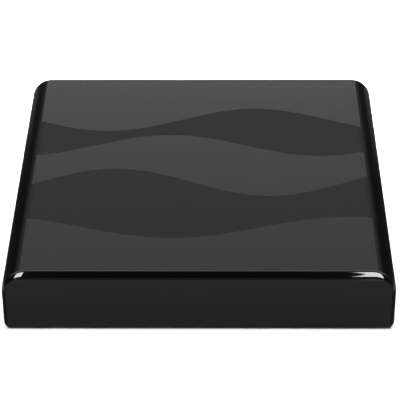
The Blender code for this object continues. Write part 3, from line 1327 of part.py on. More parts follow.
def build_moving_parts():
    """The tray with the drive, and the lever on it, each hung on an empty on its joint's axis."""
    tray_pieces = build_tray() + build_bezel()
    build_drive()
    drive = [bpy.data.objects[n] for n in ("drive_housing", "drive_lid", "drive_board", "drive_plug")]
    slide = empty_at("tray_slide", (TRAY_X0, BAY_Y, TRAY_Z))
    hang_on(slide, *tray_pieces, *drive)
    pivot_x, pivot_y, _ = lever_places()
    swing = empty_at("lever_swing", (pivot_x, pivot_y, BEZEL_MID_Z))
    hang_on(slide, swing)
    hang_on(swing, build_lever())


def build_ports():
    places = {name: x for name, (x, _, _) in ports().items()}
    build_dc_jack(places["dc_jack"])
    build_switch(places["switch_housing"])
    build_network(places["network_socket"])
    build_display(places["display_socket"])
    for name in ("data_socket_left", "data_socket_right"):
        build_data_socket(name, places[name])
    for name in ("audio_jack", "video_jack"):
        build_jack(name, places[name])


def main():
    clear_scene()
    build_cover()
    build_window()
    build_rear_panel()
    build_base()
    build_feet()
    build_screws()
    build_cage()
    build_boards()
    build_board_parts()
    build_ports()
    build_sensor()
    build_moving_parts()


main()
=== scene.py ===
"""The finished look of a slim square media player whose hard drive slides out on a tray in its side.

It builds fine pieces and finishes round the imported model, in metres, in the model's own frame: X to the
right as seen from the front, Y to the back, Z up, with the origin on the table under the case.
"""

import math

import bmesh
import bpy
from bpy.props import FloatProperty, FloatVectorProperty, IntProperty, PointerProperty
from mathutils import Matrix, Vector


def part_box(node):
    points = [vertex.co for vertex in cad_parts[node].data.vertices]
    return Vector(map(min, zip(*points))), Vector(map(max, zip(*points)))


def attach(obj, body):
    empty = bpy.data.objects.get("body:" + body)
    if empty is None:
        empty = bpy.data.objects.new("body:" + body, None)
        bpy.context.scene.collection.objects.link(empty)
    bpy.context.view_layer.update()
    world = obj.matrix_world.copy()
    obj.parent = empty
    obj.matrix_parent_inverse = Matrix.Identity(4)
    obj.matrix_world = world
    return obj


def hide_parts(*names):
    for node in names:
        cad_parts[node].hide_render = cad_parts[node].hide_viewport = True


bl_info = {
    "name": "Media Player with Hard Drive Tray",
    "version": (1, 0, 0),
    "blender": (4, 5, 0),
    "location": "View3D > Sidebar > Player",
    "description": "Builds the finish of a media player round its packed model",
    "category": "Object",
}

MM = 0.001
WELD = 0.002 * MM
OVERRUN = 3 * MM  # how far a cutter passes the wall it cuts
FLAT_ANGLE = math.radians(1)
SOFT_ANGLE = math.radians(35)  # edges sharper than this are softened

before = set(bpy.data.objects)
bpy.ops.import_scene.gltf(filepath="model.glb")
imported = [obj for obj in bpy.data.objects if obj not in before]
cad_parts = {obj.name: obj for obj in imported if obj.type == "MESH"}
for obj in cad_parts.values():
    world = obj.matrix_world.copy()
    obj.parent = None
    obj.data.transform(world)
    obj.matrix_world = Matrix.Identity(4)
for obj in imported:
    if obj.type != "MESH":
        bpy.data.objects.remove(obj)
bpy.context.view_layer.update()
CASE_LOW, CASE_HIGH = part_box("top_cover")
WINDOW_LOW, WINDOW_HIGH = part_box("front_window")
PANEL_LOW, PANEL_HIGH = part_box("rear_panel")
BEZEL_LOW, BEZEL_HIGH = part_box("tray_bezel")
LEVER_LOW, LEVER_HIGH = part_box("tray_lever")
PIN_LOW, PIN_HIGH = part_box("lever_pin")


def number(name, description, default, **more):
    return FloatProperty(name=name, description=description, default=default, **more)


def length(name, description, default):
    return number(name, description, default, min=0, unit="LENGTH")


def share(name, description, default):
    return number(name, description, default, min=0, max=1)


def colour(name, description, default):
    return FloatVectorProperty(
        name=name, description=description, default=default, min=0, max=1, subtype="COLOR"
    )


class CaseSizes(bpy.types.PropertyGroup):
    """The glossy case's own sizes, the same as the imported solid's."""

    edge_radius: length("Edge radius", "Rounding of the two long upper edges", 10.9 * MM)
    end_fillet: length("End fillet", "Rounding of the front and rear ends", 3.3 * MM)
    side_fillet: length("Side fillet", "The same rounding where it draws in the sides", 2 * MM)
    heel_radius: length("Heel radius", "Rounding of the lower edges", 1.8 * MM)
    wall: length("Wall", "Thickness of the roof and the side walls", 2.4 * MM)
    seat_gap: length("Seat gap", "Gap behind the window and the rear panel", 0.3 * MM)
    rim: length("Rim", "Depth of the rim over the window", 2.7 * MM)
    side_rim: length("Side rim", "Thickness of the rim beside the window", 1.6 * MM)
    pocket_corner: length("Pocket corner", "Upper corners of the window's pocket", 7 * MM)
    seam: length("Seam", "Visible seam round the window", 0.14 * MM)
    ledge_width: length("Ledge width", "Inner flange behind the window and the panel", 2 * MM)
    ledge_thick: length("Ledge thickness", "Thickness of that flange", 1.5 * MM)
    bezel_gap: length("Bezel gap", "Gap round the tray's bezel", 0.4 * MM)
    boss_inset: length("Boss inset", "Screw bosses from the case's sides", 10.5 * MM)
    boss_radius: length("Boss radius", "Outer radius of a screw boss", 3.5 * MM)
    boss_bore: length("Boss bore", "Radius of the hole in a boss", 1.4 * MM)
    boss_foot: length("Boss foot", "Lower end of the bosses above the table", 5.3 * MM)
    rib_length: length("Rib length", "Stiffening ribs under the roof", 120 * MM)
    rib_thick: length("Rib thickness", "Thickness of a rib", 1.2 * MM)
    rib_depth: length("Rib depth", "How far a rib hangs down", 2 * MM)
    rib_pitch: length("Rib pitch", "From one rib to the next", 44 * MM)
    edge_steps: IntProperty(name="Edge steps", description="Facets in a long edge", default=40, min=4)
    fillet_steps: IntProperty(name="Fillet steps", description="Facets in a fillet", default=12, min=2)
    soft_edge: length("Soft edge", "Softening of the moulded edges", 0.12 * MM)


class LidSizes(bpy.types.PropertyGroup):
    """The hard drive's pressed lid."""

    corner: length("Corner", "Radius of the lid's corners", 2.2 * MM)
    sheet: length("Sheet", "Thickness of the sheet", 0.6 * MM)
    hub_radius: length("Hub radius", "The raised disc over the motor", 12.5 * MM)
    hub_place: length("Hub place", "The disc's centre from the plug's end of the lid", 54.8 * MM)
    dish_radius: length("Dish radius", "The hollow in the disc", 7 * MM)
    screw_inset: length("Screw inset", "Lid screws from the lid's edges", 2.4 * MM)
    screw_radius: length("Screw radius", "Head of a lid screw", 1.9 * MM)
    groove_inset: length("Groove inset", "Stamped groove from the lid's edges", 5.4 * MM)
    groove_width: length("Groove width", "Width of the stamped groove", 0.9 * MM)
    groove_depth: length("Groove depth", "Depth of the stamped groove", 0.25 * MM)


class TopPattern(bpy.types.PropertyGroup):
    """Three broad satin bands with wavy edges on the glossy top."""

    rear_edge: length("Rear band edge", "Mean front edge of the rear band, from the middle", 46 * MM)
    middle_rear: length("Middle band rear", "Mean rear edge of the middle band, from the middle", 21 * MM)
    middle_front: length("Middle band front", "Mean front edge of the middle band, forward", 13 * MM)
    front_edge: length("Front band edge", "Mean rear edge of the front band, forward", 52 * MM)
    half_width: length("Half width", "How far the bands reach to each side", 81.6 * MM)
    wave_height: length("Wave height", "How far an edge swings to each side", 11 * MM)
    wave_length: length("Wave length", "Length of one wave along the edge", 150 * MM)
    satin_colour: colour("Satin colour", "Colour of the bands", (0.0157, 0.0157, 0.016))
    satin_roughness: share("Satin roughness", "Roughness of the bands", 0.4)
    satin_sheen: share("Satin sheen", "Specular level of the bands", 0.05)


class PlayerFinishes(bpy.types.PropertyGroup):
    """Colours of the player's materials."""

    gloss_black: colour("Gloss black", "Polished shell and bezel", (0.001, 0.001, 0.001))
    smoked_window: colour("Smoked window", "Front plate", (0.0055, 0.0055, 0.0057))
    satin_black: colour("Satin black", "Base, tray, lever and rear panel", (0.021, 0.021, 0.022))
    rubber_black: colour("Rubber", "Feet", (0.016, 0.016, 0.016))
    zinc_steel: colour("Zinc-plated steel", "Cage and screws", (0.62, 0.63, 0.65))
    cast_aluminium: colour("Cast aluminium", "Drive housing and heat sink", (0.55, 0.55, 0.56))
    bright_steel: colour("Bright steel", "Drive lid, sockets and pins", (0.74, 0.74, 0.75))
    black_oxide: colour("Black oxide", "Case screws", (0.06, 0.06, 0.064))
    solder_mask: colour("Solder mask", "Circuit boards", (0.012, 0.105, 0.04))
    moulded_black: colour("Moulded black", "Chips, sockets and switch", (0.026, 0.026, 0.028))
    contact_gold: colour("Contact gold", "Contacts", (0.86, 0.6, 0.22))
    film_white: colour("Film white", "Ribbon", (0.72, 0.72, 0.7))
    lens_blue: colour("Lens blue", "Status lamp", (0.1, 0.2, 0.7))


class StudioSettings(bpy.types.PropertyGroup):
    """Camera, floor and lamps."""

    camera_place: FloatVectorProperty(
        name="Camera place",
        description="Where the camera stands",
        default=(0.00788, -0.7612, 0.5151),
        subtype="TRANSLATION",
        unit="LENGTH",
    )
    camera_pitch: number("Pitch", "Camera tilt below the horizon", 0.584, subtype="ANGLE")
    camera_yaw: number("Yaw", "Camera turn to the right", -0.0105, subtype="ANGLE")
    camera_roll: number("Roll", "Camera turn about its own axis", -0.0056, subtype="ANGLE")
    focal_length: number("Focal length", "Lens in millimetres on a 36 mm sensor", 164.8)
    floor_size: length("Floor size", "Width of the floor", 6.0)
    floor_colour: colour("Floor colour", "Pale floor", (0.9, 0.9, 0.9))
    world_level: number("World level", "Light from all round", 0.35)
    dim_level: number("Dim level", "The unlit part of the studio, seen in reflections", 0.03)
    key_power: number("Key power", "Large soft lamp above the front, in watts", 28.0)
    back_power: number("Back power", "Narrow lamp over the rear edge, in watts", 2.5)
    strip_level: number("Strip level", "Radiance of the strips seen in the front corners", 12.5)


def settings(group):
    return getattr(bpy.context.scene, group)


# Shader graphs


def maths(operation, swapped=False):
    """A method that takes a Term, and another one or a number, into a maths node."""

    def method(self, other=0.0):
        first, second = (other, self) if swapped else (self, other)
        node = self.graph.add("ShaderNodeMath", {"operation": operation}, {0: first, 1: second})
        return Term(self.graph, node.outputs[0])

    return method


class Term:
    """A shader socket that takes part in Python sums, so that a finish reads as a formula."""

    def __init__(self, graph, socket):
        self.graph = graph
        self.socket = socket

    __add__ = __radd__ = maths("ADD")
    __mul__ = __rmul__ = maths("MULTIPLY")
    __sub__ = maths("SUBTRACT")
    __rsub__ = maths("SUBTRACT", swapped=True)
    __truediv__ = maths("DIVIDE")
    __gt__ = maths("GREATER_THAN")
    __lt__ = maths("LESS_THAN")
    __abs__ = maths("ABSOLUTE")
    sine = maths("SINE")
    either = maths("MAXIMUM")


class Graph:
    """A node tree that is written from its end: each node with its settings, then its values and links."""

    def __init__(self, tree):
        self.tree = tree

    def add(self, kind, options=None, values=None):
        node = self.tree.nodes.new(kind)
        for name, value in (options or {}).items():
            if name == "stops":
                self.set_stops(node.color_ramp, value)
            else:
                setattr(node, name, value)
        self.feed(node, values or {})
        return node

    def feed(self, node, values):
        for name, value in values.items():
            if isinstance(value, Term):
                self.tree.links.new(value.socket, node.inputs[name])
            else:
                node.inputs[name].default_value = value

    def set_stops(self, ramp, stops):
        while len(ramp.elements) < len(stops):
            ramp.elements.new(1)
        for element, (position, level) in zip(ramp.elements, stops):
            element.position = position
            element.color = (level, level, level, 1)

    def output(self, node, name=0):
        return Term(self, node.outputs[name])

    def place(self, kind="Object"):
        """The point on the surface, in metres."""
        return self.output(self.add("ShaderNodeTexCoord"), kind)

    def split(self, vector):
        node = self.add("ShaderNodeSeparateXYZ", values={0: vector})
        return [self.output(node, name) for name in ("X", "Y", "Z")]

    def noise(self, grain, detail=3.0, stretch=(1, 1, 1), roughness=0.5):
        """Noise from 0 to 1 with grains of this size in metres, drawn out along the axes by stretch."""
        scale = [1 / (grain * times) for times in stretch]
        mapped = self.add("ShaderNodeMapping", values={"Vector": self.place(), "Scale": scale})
        values = {"Vector": self.output(mapped), "Scale": 1.0, "Detail": detail, "Roughness": roughness}
        return self.output(self.add("ShaderNodeTexNoise", values=values))

    def ramp(self, term, stops):
        node = self.add("ShaderNodeValToRGB", {"stops": stops}, {0: term})
        return self.output(node)

    def mix(self, mask, first, second):
        """One colour where the mask is 0 and the other where it is 1."""
        node = self.add("ShaderNodeMix", {"data_type": "RGBA"}, {0: mask, 6: first, 7: second})
        return self.output(node, 2)

    def bump(self, height, depth, strength=1.0):
        values = {"Height": height, "Distance": depth, "Strength": strength}
        return self.output(self.add("ShaderNodeBump", values=values))


class Finish(Graph):
    """A material with a Principled shader, and the colour that it takes from the settings."""

    def __init__(self, name, colour_name=None, **values):
        self.rgb = getattr(settings("player_finishes"), colour_name or name, None)
        self.material = bpy.data.materials.new(name)
        self.material.use_nodes = True
        super().__init__(self.material.node_tree)
        self.shader = self.tree.nodes["Principled BSDF"]
        self.set(**values)

    def cover(self, mask, over):
        """Lays another shader over this one where the mask is 1."""
        under = self.output(self.shader)
        mixed = self.add("ShaderNodeMixShader", values={0: mask, 1: under, 2: over})
        self.feed(self.tree.nodes["Material Output"], {"Surface": self.output(mixed)})

    def shade(self, low, high, mask):
        """Lets the colour run between two levels of brightness, by a mask."""
        self.set(base_color=self.mix(mask, solid(self.rgb, low), solid(self.rgb, high)))

    def relief(self, height, depth, strength):
        """Lets the light see a height over the surface, and returns the finish."""
        self.set(normal=self.bump(height, depth, strength))
        return self

    def set(self, **values):
        """Feeds the shader's sockets, named as in base_color or specular_ior_level."""
        sockets = {s.name.lower().replace(" ", "_"): s.name for s in self.shader.inputs}
        self.feed(self.shader, {sockets[name]: value for name, value in values.items()})


def solid(rgb, level=1.0):
    return (*(channel * level for channel in rgb), 1)


GLOSS_LEVEL = 0.17  # specular level of the polished black plastics


def gloss_black(name="piano_black"):
    """Polished black plastic: nearly black, with a faint unevenness and hair-fine wear."""
    finish = Finish(name, "gloss_black", specular_ior_level=GLOSS_LEVEL, ior=1.5)
    cloud = finish.noise(14 * MM, 2)
    finish.shade(0.8, 1.25, cloud)
    finish.set(roughness=0.035 + 0.03 * finish.noise(5 * MM, 4))
    return finish.relief(finish.noise(2.4 * MM, 2), 0.004 * MM, 0.5)


def patterned_black():
    """The same plastic with bands of satin ink on the top, tone on tone."""
    case = settings("player_case")
    pattern = settings("player_pattern")
    finish = gloss_black("patterned_black")
    x, y, z = finish.split(finish.place())
    turn = 2 * math.pi / pattern.wave_length

    def edge(mean, phase, swing=1.0, pace=1.0):
        wave = (x * (turn * pace) + phase).sine() * (pattern.wave_height * swing)
        return wave + mean

    rear = y > edge(pattern.rear_edge, 0.4)
    middle = (y < edge(pattern.middle_rear, 2.2, 0.9)) * (y > edge(-pattern.middle_front, 3.3, 1.1))
    front = y < edge(-pattern.front_edge, 5.2, 0.8, 0.9)
    depth = -WINDOW_LOW.y - abs(y)
    rounding_start = case.end_fillet * 0.06
    lacquer = (depth > rounding_start) * (depth < case.end_fillet)
    finish.set(coat_weight=lacquer, coat_roughness=0.03)
    half_depth = -WINDOW_LOW.y - case.end_fillet
    roof_start = CASE_HIGH.z - 0.5 * MM
    top = (abs(x) < pattern.half_width) * (abs(y) < half_depth) * (z > roof_start)
    mask = rear.either(middle).either(front) * top

    grain = finish.noise(0.5 * MM, 2)
    rgb = pattern.satin_colour
    satin = finish.add(
        "ShaderNodeBsdfPrincipled",
        values={
            "Base Color": finish.mix(grain, solid(rgb, 0.92), solid(rgb, 1.08)),
            "Roughness": grain * 0.05 + pattern.satin_roughness,
            "Specular IOR Level": pattern.satin_sheen,
            "Normal": finish.bump(grain, 0.01 * MM, 0.4),
        },
    )
    finish.cover(mask, finish.output(satin))
    return finish


def smoked_window():
    """Smoked plastic plate, polished, a shade lighter than the shell, with painted shade that darkens its
    colour towards its foot.
    """
    finish = Finish("smoked_window", specular_ior_level=GLOSS_LEVEL, ior=1.5)
    # Painted shade: the colour darkens towards the plate's foot, by height, in place of the table's shade
    # seen there; the noise only adds random tone.
    height = (finish.split(finish.place())[2] - WINDOW_LOW.z) / (WINDOW_HIGH.z - WINDOW_LOW.z)
    finish.shade(0.3, 1.1, height * 0.85 + finish.noise(30 * MM, 2) * 0.15)
    finish.set(roughness=0.05 + 0.03 * finish.noise(6 * MM, 3))
    return finish.relief(finish.noise(4 * MM, 2), 0.003 * MM, 0.5)


def satin_black():
    """Spark-eroded black moulding."""
    finish = Finish("satin_black", specular_ior_level=0.35)
    grain = finish.noise(0.35 * MM, 3)
    finish.shade(0.75, 1.25, grain)
    finish.set(roughness=0.48 + 0.14 * finish.noise(3 * MM, 3))
    return finish.relief(grain, 0.03 * MM, 0.6)


def rubber():
    finish = Finish("foot_rubber", "rubber_black", specular_ior_level=0.25)
    dust = finish.noise(1.5 * MM, 4)
    finish.shade(0.8, 1.6, dust)
    finish.set(roughness=0.8 + 0.12 * dust)
    return finish.relief(finish.noise(0.25 * MM, 3), 0.03 * MM, 0.7)


def zinc_steel():
    """Rolled sheet with a thin zinc coat: drawn lines along it, and cloudy spots."""
    finish = Finish("zinc_steel", metallic=1.0)
    lines = finish.noise(0.3 * MM, 3, stretch=(40, 1, 1))
    cloud = finish.noise(3 * MM, 3)
    finish.shade(0.78, 1.05, 0.5 * lines + 0.5 * cloud)
    finish.set(roughness=0.26 + 0.2 * cloud + 0.06 * lines)
    return finish.relief(lines, 0.006 * MM, 0.6)


def cast_aluminium():
    """Die-cast or extruded aluminium with a fine grain."""
    finish = Finish("cast_aluminium", metallic=1.0)
    grain = finish.noise(0.5 * MM, 4, roughness=0.65)
    finish.shade(0.8, 1.08, grain)
    finish.set(roughness=0.4 + 0.18 * grain)
    return finish.relief(grain, 0.03 * MM, 0.6)


def bright_steel():
    """Plated steel, polished, with a brushed direction."""
    finish = Finish("bright_steel", metallic=1.0)
    lines = finish.noise(0.18 * MM, 2, stretch=(1, 60, 1))
    finish.shade(0.86, 1.03, lines)
    finish.set(roughness=0.16 + 0.12 * lines)
    return finish.relief(lines, 0.003 * MM, 0.5)


def black_oxide():
    finish = Finish("black_oxide", metallic=1.0)
    wear = finish.noise(0.6 * MM, 4)
    finish.shade(0.7, 2.0, wear)
    finish.set(roughness=0.32 + 0.2 * wear)
    return finish


def solder_mask():
    """Green board: tracks under the lacquer, and rows of tinned holes."""
    finish = Finish("solder_mask", specular_ior_level=0.5)
    x, y, _ = finish.split(finish.place())
    wander = finish.noise(16 * MM, 1)
    tracks = ((x + wander * (9 * MM)) * (2 * math.pi / (1.3 * MM))).sine() > 0.35
    cross = ((y + wander * (7 * MM)) * (2 * math.pi / (1.7 * MM))).sine() > 0.5
    fields = finish.noise(11 * MM, 0) > 0.52
    copper = tracks * fields + cross * (1 - fields)
    finish.shade(0.7, 1.45, copper)
    finish.set(roughness=0.3 + 0.1 * finish.noise(2 * MM, 3))
    return finish.relief(copper, 0.03 * MM, 0.7)


def moulded_black():
    finish = Finish("moulded_black", specular_ior_level=0.4)
    grain = finish.noise(0.2 * MM, 3)
    finish.shade(0.8, 1.3, grain)
    finish.set(roughness=0.4 + 0.15 * finish.noise(1.2 * MM, 3))
    return finish.relief(grain, 0.015 * MM, 0.6)


def contact_gold():
    finish = Finish("contact_gold", metallic=1.0)
    wear = finish.noise(0.4 * MM, 3)
    finish.shade(0.85, 1.05, wear)
    finish.set(roughness=0.2 + 0.12 * wear)
    return finish


def ribbon_film():
    """Flat cable: tinned conductors side by side under a white film."""
    finish = Finish("ribbon_film", "film_white", specular_ior_level=0.5)
    x = finish.split(finish.place())[0]
    conductors = (x * (2 * math.pi / (0.5 * MM))).sine() > 0
    finish.shade(0.78, 1.0, conductors)
    finish.set(roughness=0.3 + 0.1 * finish.noise(1 * MM, 2))
    return finish.relief(conductors, 0.03 * MM, 0.6)


def lamp_lens():
    finish = Finish("lamp_lens", "lens_blue", specular_ior_level=0.5, coat_weight=0.5)
    cloud = finish.noise(1 * MM, 2)
    finish.shade(0.8, 1.1, cloud)
    finish.set(roughness=0.12 + 0.05 * cloud)
    return finish


finishes = {}


def finish_for(maker):
    """The maker's material, made once."""
    if maker not in finishes:
        finishes[maker] = maker().material
    return finishes[maker]


# Meshes


def rounded(corners, steps):
    """An outline whose corners are (u, v), or (u, v, radius) for a right angle that is rounded."""
    outline = []
    count = len(corners)
    for i, corner in enumerate(corners):
        point = Vector(corner[:2])
        if len(corner) == 2:
            outline.append(point)
            continue
        radius = corner[2]
        to_before = (Vector(corners[i - 1][:2]) - point).normalized()
        to_after = (Vector(corners[(i + 1) % count][:2]) - point).normalized()
        centre = point + radius * (to_before + to_after)
        for step in range(steps + 1):
            turn = math.pi / 2 * step / steps
            outline.append(centre - radius * (to_after * math.cos(turn) + to_before * math.sin(turn)))
    return [point for i, point in enumerate(outline) if (point - outline[i - 1]).length > WELD]


def rectangle(u0, u1, v0, v1, radius=0.0, steps=8):
    ends = (radius,) if radius else ()
    return rounded([(u1, v0, *ends), (u1, v1, *ends), (u0, v1, *ends), (u0, v0, *ends)], steps)


def object_from(bm, name):
    bmesh.ops.recalc_face_normals(bm, faces=bm.faces)
    if bm.calc_volume(signed=True) < 0:
        bmesh.ops.reverse_faces(bm, faces=bm.faces)
    mesh = bpy.data.meshes.new(name)
    bm.to_mesh(mesh)
    bm.free()
    obj = bpy.data.objects.new(name, mesh)
    bpy.context.scene.collection.objects.link(obj)
    return obj


def prism(outline, axis, start, end, name="cutter"):
    """An outline in (y, z), (x, z) or (x, y), pushed along X, Y or Z."""
    order = {"X": (2, 0, 1), "Y": (0, 2, 1), "Z": (0, 1, 2)}[axis]
    bm = bmesh.new()
    face = bm.faces.new([bm.verts.new([(u, v, start)[i] for i in order]) for u, v in outline])
    pushed = bmesh.ops.extrude_face_region(bm, geom=[face])["geom"]
    moved = [item for item in pushed if isinstance(item, bmesh.types.BMVert)]
    bmesh.ops.translate(bm, vec=[(0, 0, end - start)[i] for i in order], verts=moved)
    return object_from(bm, name)


def box(x0, x1, y0, y1, z0, z1, name="cutter"):
    return prism(rectangle(x0, x1, y0, y1), "Z", z0, z1, name)


def lathe(profile, place, axis="Z", steps=48, name="turned"):
    """A profile of (radius, height) points spun round Z or Y through place, with flat ends."""
    bm = bmesh.new()
    points = [bm.verts.new((radius, 0, height)) for radius, height in profile]
    edges = [bm.edges.new(pair) for pair in zip(points, points[1:])]
    bmesh.ops.spin(bm, geom=points + edges, cent=(0, 0, 0), axis=(0, 0, 1), angle=2 * math.pi, steps=steps)
    bmesh.ops.remove_doubles(bm, verts=bm.verts, dist=WELD)
    on_axis = [v for v in bm.verts if math.hypot(v.co.x, v.co.y) < WELD]
    bmesh.ops.dissolve_verts(bm, verts=on_axis)
    turn = Matrix.Rotation(-math.pi / 2, 4, "X") if axis == "Y" else Matrix.Identity(4)
    bm.transform(Matrix.Translation(place) @ turn)
    return object_from(bm, name)


def loft(rings, name):
    """A solid through closed rings of equal length, capped at both ends."""
    bm = bmesh.new()
    loops = [[bm.verts.new(point) for point in ring] for ring in rings]
    for first, second in zip(loops, loops[1:]):
        for i in range(len(first)):
            bm.faces.new((first[i - 1], first[i], second[i], second[i - 1]))
    bm.faces.new(loops[0])
    bm.faces.new(loops[-1])
    return object_from(bm, name)


def combine(target, tools, operation):
    for tool in tools:
        modifier = target.modifiers.new(operation, "BOOLEAN")
        modifier.operation = operation
        modifier.solver = "EXACT"
        modifier.object = tool
    graph = bpy.context.evaluated_depsgraph_get()
    mesh = bpy.data.meshes.new_from_object(target.evaluated_get(graph))
    target.modifiers.clear()
    target.data = mesh
    for tool in tools:
        bpy.data.objects.remove(tool)
    return target


def cut(target, *tools):
    return combine(target, tools, "DIFFERENCE")


def fuse(target, *tools):
    return combine(target, tools, "UNION")


def soften(piece, width, segments=2):
    """Rounds the piece's sharp edges a little, so that they catch the light."""
    piece.data.shade_smooth()
    bevel = piece.modifiers.new("soft_edges", "BEVEL")
    bevel.width = width
    bevel.segments = segments
    bevel.limit_method = "ANGLE"
    bevel.angle_limit = SOFT_ANGLE
    bevel.harden_normals = True
    weighted = piece.modifiers.new("flat_normals", "WEIGHTED_NORMAL")
    weighted.keep_sharp = True
    return piece


def present(piece, maker, body, slot, *nodes):
    """Gives a piece its finish, hangs it on its body and lets it stand for CAD nodes."""
    piece.data.materials.clear()
    piece.data.materials.append(finish_for(maker))
    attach(piece, body)
    if nodes:
        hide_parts(*nodes)
    return piece


def fine_copy(node, width):
    """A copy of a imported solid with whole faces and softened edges."""
    bm = bmesh.new()
    bm.from_mesh(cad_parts[node].data)
    bmesh.ops.remove_doubles(bm, verts=bm.verts, dist=WELD)
    bmesh.ops.dissolve_limit(bm, angle_limit=FLAT_ANGLE, verts=bm.verts, edges=bm.edges)
    return soften(object_from(bm, node + "_fine"), width)


def dress(node, maker, body, slot, width):
    """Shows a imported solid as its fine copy."""
    return present(fine_copy(node, width), maker, body, slot, node)


def gild(contact, softness, body="case"):
    """Finishes a contact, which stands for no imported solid."""
    present(soften(contact, softness, 1), contact_gold, body, "polished_steel")


def paint_inside(piece, low, high, maker):
    """Gives the faces whose middle lies in a box another finish."""
    piece.data.materials.append(finish_for(maker))
    last = len(piece.data.materials) - 1
    for face in piece.data.polygons:
        if all(low[i] < face.center[i] < high[i] for i in range(3)):
            face.material_index = last


# Pieces


def case_outline(side, drop, crown, bottom, heel):
    """The case's section seen from the front, drawn in at the sides and dropped at the top."""
    steps = settings("player_case").edge_steps
    half = CASE_HIGH.x - side
    top = CASE_HIGH.z - drop
    foot = (heel,) if heel else ()
    corners = [(half, bottom, *foot), (half, top, crown), (-half, top, crown), (-half, bottom, *foot)]
    return rounded(corners, steps)


def rounding_outline(part):
    """The outer section where the end rounding has drawn in by this part of its radius."""
    case = settings("player_case")
    slope = (case.edge_radius - case.pocket_corner) * case.end_fillet / case.rim
    crown = case.edge_radius - slope * part
    return case_outline(
        case.side_fillet * part, case.end_fillet * part, crown, CASE_LOW.z, case.heel_radius
    )


def pocket_outline(inset, bottom):
    """The window's pocket, drawn in by an inset."""
    case = settings("player_case")
    return case_outline(case.side_rim + inset, case.rim + inset, case.pocket_corner - inset, bottom, 0)


def bezel_outline(grow, radius):
    return rectangle(
        BEZEL_LOW.y - grow, BEZEL_HIGH.y + grow, BEZEL_LOW.z - grow, BEZEL_HIGH.z + grow, radius + grow
    )


BEZEL_CORNER = 1.6 * MM


class PLAYER_OT_cover(bpy.types.Operator):
    """Builds the glossy shell with its satin bands"""

    bl_idname = "player.cover"
    bl_label = "Cover"

    def execute(self, context):
        case = settings("player_case")
        front = WINDOW_LOW.y
        turns = [math.pi / 2 * i / case.fillet_steps for i in range(case.fillet_steps + 1)]
        sections = [
            (max(front + case.end_fillet * (1 - math.cos(t)), CASE_LOW.y), 1 - math.sin(t)) for t in turns
        ]
        sections += [(-y, part) for y, part in reversed(sections)]
        rings = [[(x, y, z) for x, z in rounding_outline(part)] for y, part in sections]
        shell = loft(rings, "cover_shell")
        below = CASE_LOW.z - OVERRUN
        front_end, rear_end = front - OVERRUN, OVERRUN - front
        front_pocket = WINDOW_HIGH.y + case.seat_gap
        rear_pocket = PANEL_LOW.y - case.seat_gap
        cut(shell, prism(pocket_outline(case.ledge_width, below), "Y", front_end, rear_end))
        cavity = case_outline(case.wall, case.wall, case.edge_radius - case.wall, below, 0)
        cut(shell, prism(cavity, "Y", front_pocket + case.ledge_thick, rear_pocket - case.ledge_thick))
        cut(shell, prism(pocket_outline(0, below), "Y", front_end, front_pocket))
        cut(shell, prism(pocket_outline(0, below), "Y", rear_pocket, rear_end))
        opening = bezel_outline(case.bezel_gap, BEZEL_CORNER)
        cut(shell, prism(opening, "X", CASE_HIGH.x - case.wall - OVERRUN, CASE_HIGH.x + OVERRUN))
        roof = CASE_HIGH.z - case.wall
        root = roof + case.wall / 4  # ribs and bosses reach a little into the roof
        half, thick = case.rib_length / 2, case.rib_thick / 2
        for step in (-1, 0, 1):
            middle = case.rib_pitch * step
            fuse(shell, box(-half, half, middle - thick, middle + thick, roof - case.rib_depth, root))
        bore, radius, rise = case.boss_bore, case.boss_radius, root - case.boss_foot
        tube = [(bore, 0), (radius, 0), (radius, rise), (0, rise), (0, rise / 2), (bore, rise / 2), (bore, 0)]
        x, y = CASE_HIGH.x - case.boss_inset, -front - case.boss_inset
        for corner in ((-x, -y), (-x, y), (x, -y), (x, y)):
            fuse(shell, lathe(tube, (*corner, case.boss_foot), name="boss"))
        present(soften(shell, case.soft_edge), patterned_black, "case", "gloss_black", "top_cover")
        return {"FINISHED"}


class PLAYER_OT_window(bpy.types.Operator):
    """Builds the smoked plate in the front"""

    bl_idname = "player.window"
    bl_label = "Window"

    def execute(self, context):
        case = settings("player_case")
        outline = pocket_outline(case.seam, WINDOW_LOW.z)
        plate = prism(outline, "Y", WINDOW_LOW.y, WINDOW_HIGH.y, "window_plate")
        present(soften(plate, case.soft_edge), smoked_window, "case", "smoked_window", "front_window")
        return {"FINISHED"}


def extent(node):
    """The low corner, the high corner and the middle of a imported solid."""
    low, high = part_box(node)
    return low, high, (low + high) / 2


def cut_cross(screw, middle, width, arm, low_z, high_z):
    """Cuts a cross round the middle of a head, with half the width and length of its bars."""
    x, y = middle.x, middle.y
    for across, along in ((width, arm), (arm, width)):
        cut(screw, box(x - across, x + across, y - along, y + along, low_z, high_z))


# Proportions of a crosshead screw, by its head's radius or height
CROSS_ARM = 0.55
CROSS_HALF_WIDTH = 0.17
CROSS_DEPTH = 0.6
DOME_INSET = 0.28  # how far the dome draws in the rim
RIM_SHARE = 0.35  # the straight rim's part of the height


def crosshead(node, maker, slot, height, shank, driven):
    """Stands a round-headed screw for a packed one, driven up, 1, or down, -1."""
    low, high, middle = extent(node)
    radius = (high.x - low.x) / 2
    reach = driven * (high.z - low.z - height)
    place = (middle.x, middle.y, low.z + height if driven > 0 else high.z - height)
    turns = [math.pi / 2 * i / 6 for i in range(7)]
    dome = [
        (
            radius * (1 - DOME_INSET + DOME_INSET * math.cos(t)),
            -driven * height * (RIM_SHARE + (1 - RIM_SHARE) * math.sin(t)),
        )
        for t in turns
    ]
    profile = [(0, reach), (shank, reach), (shank, 0), (radius, 0), *dome, (0, -driven * height)]
    screw = lathe(profile, place, name=node + "_fine")
    ends = sorted(place[2] - driven * part for part in (height + OVERRUN, height * (1 - CROSS_DEPTH)))
    cut_cross(screw, middle, radius * CROSS_HALF_WIDTH, radius * CROSS_ARM, *ends)
    present(soften(screw, 0.08 * MM, 1), maker, "case", slot, node)


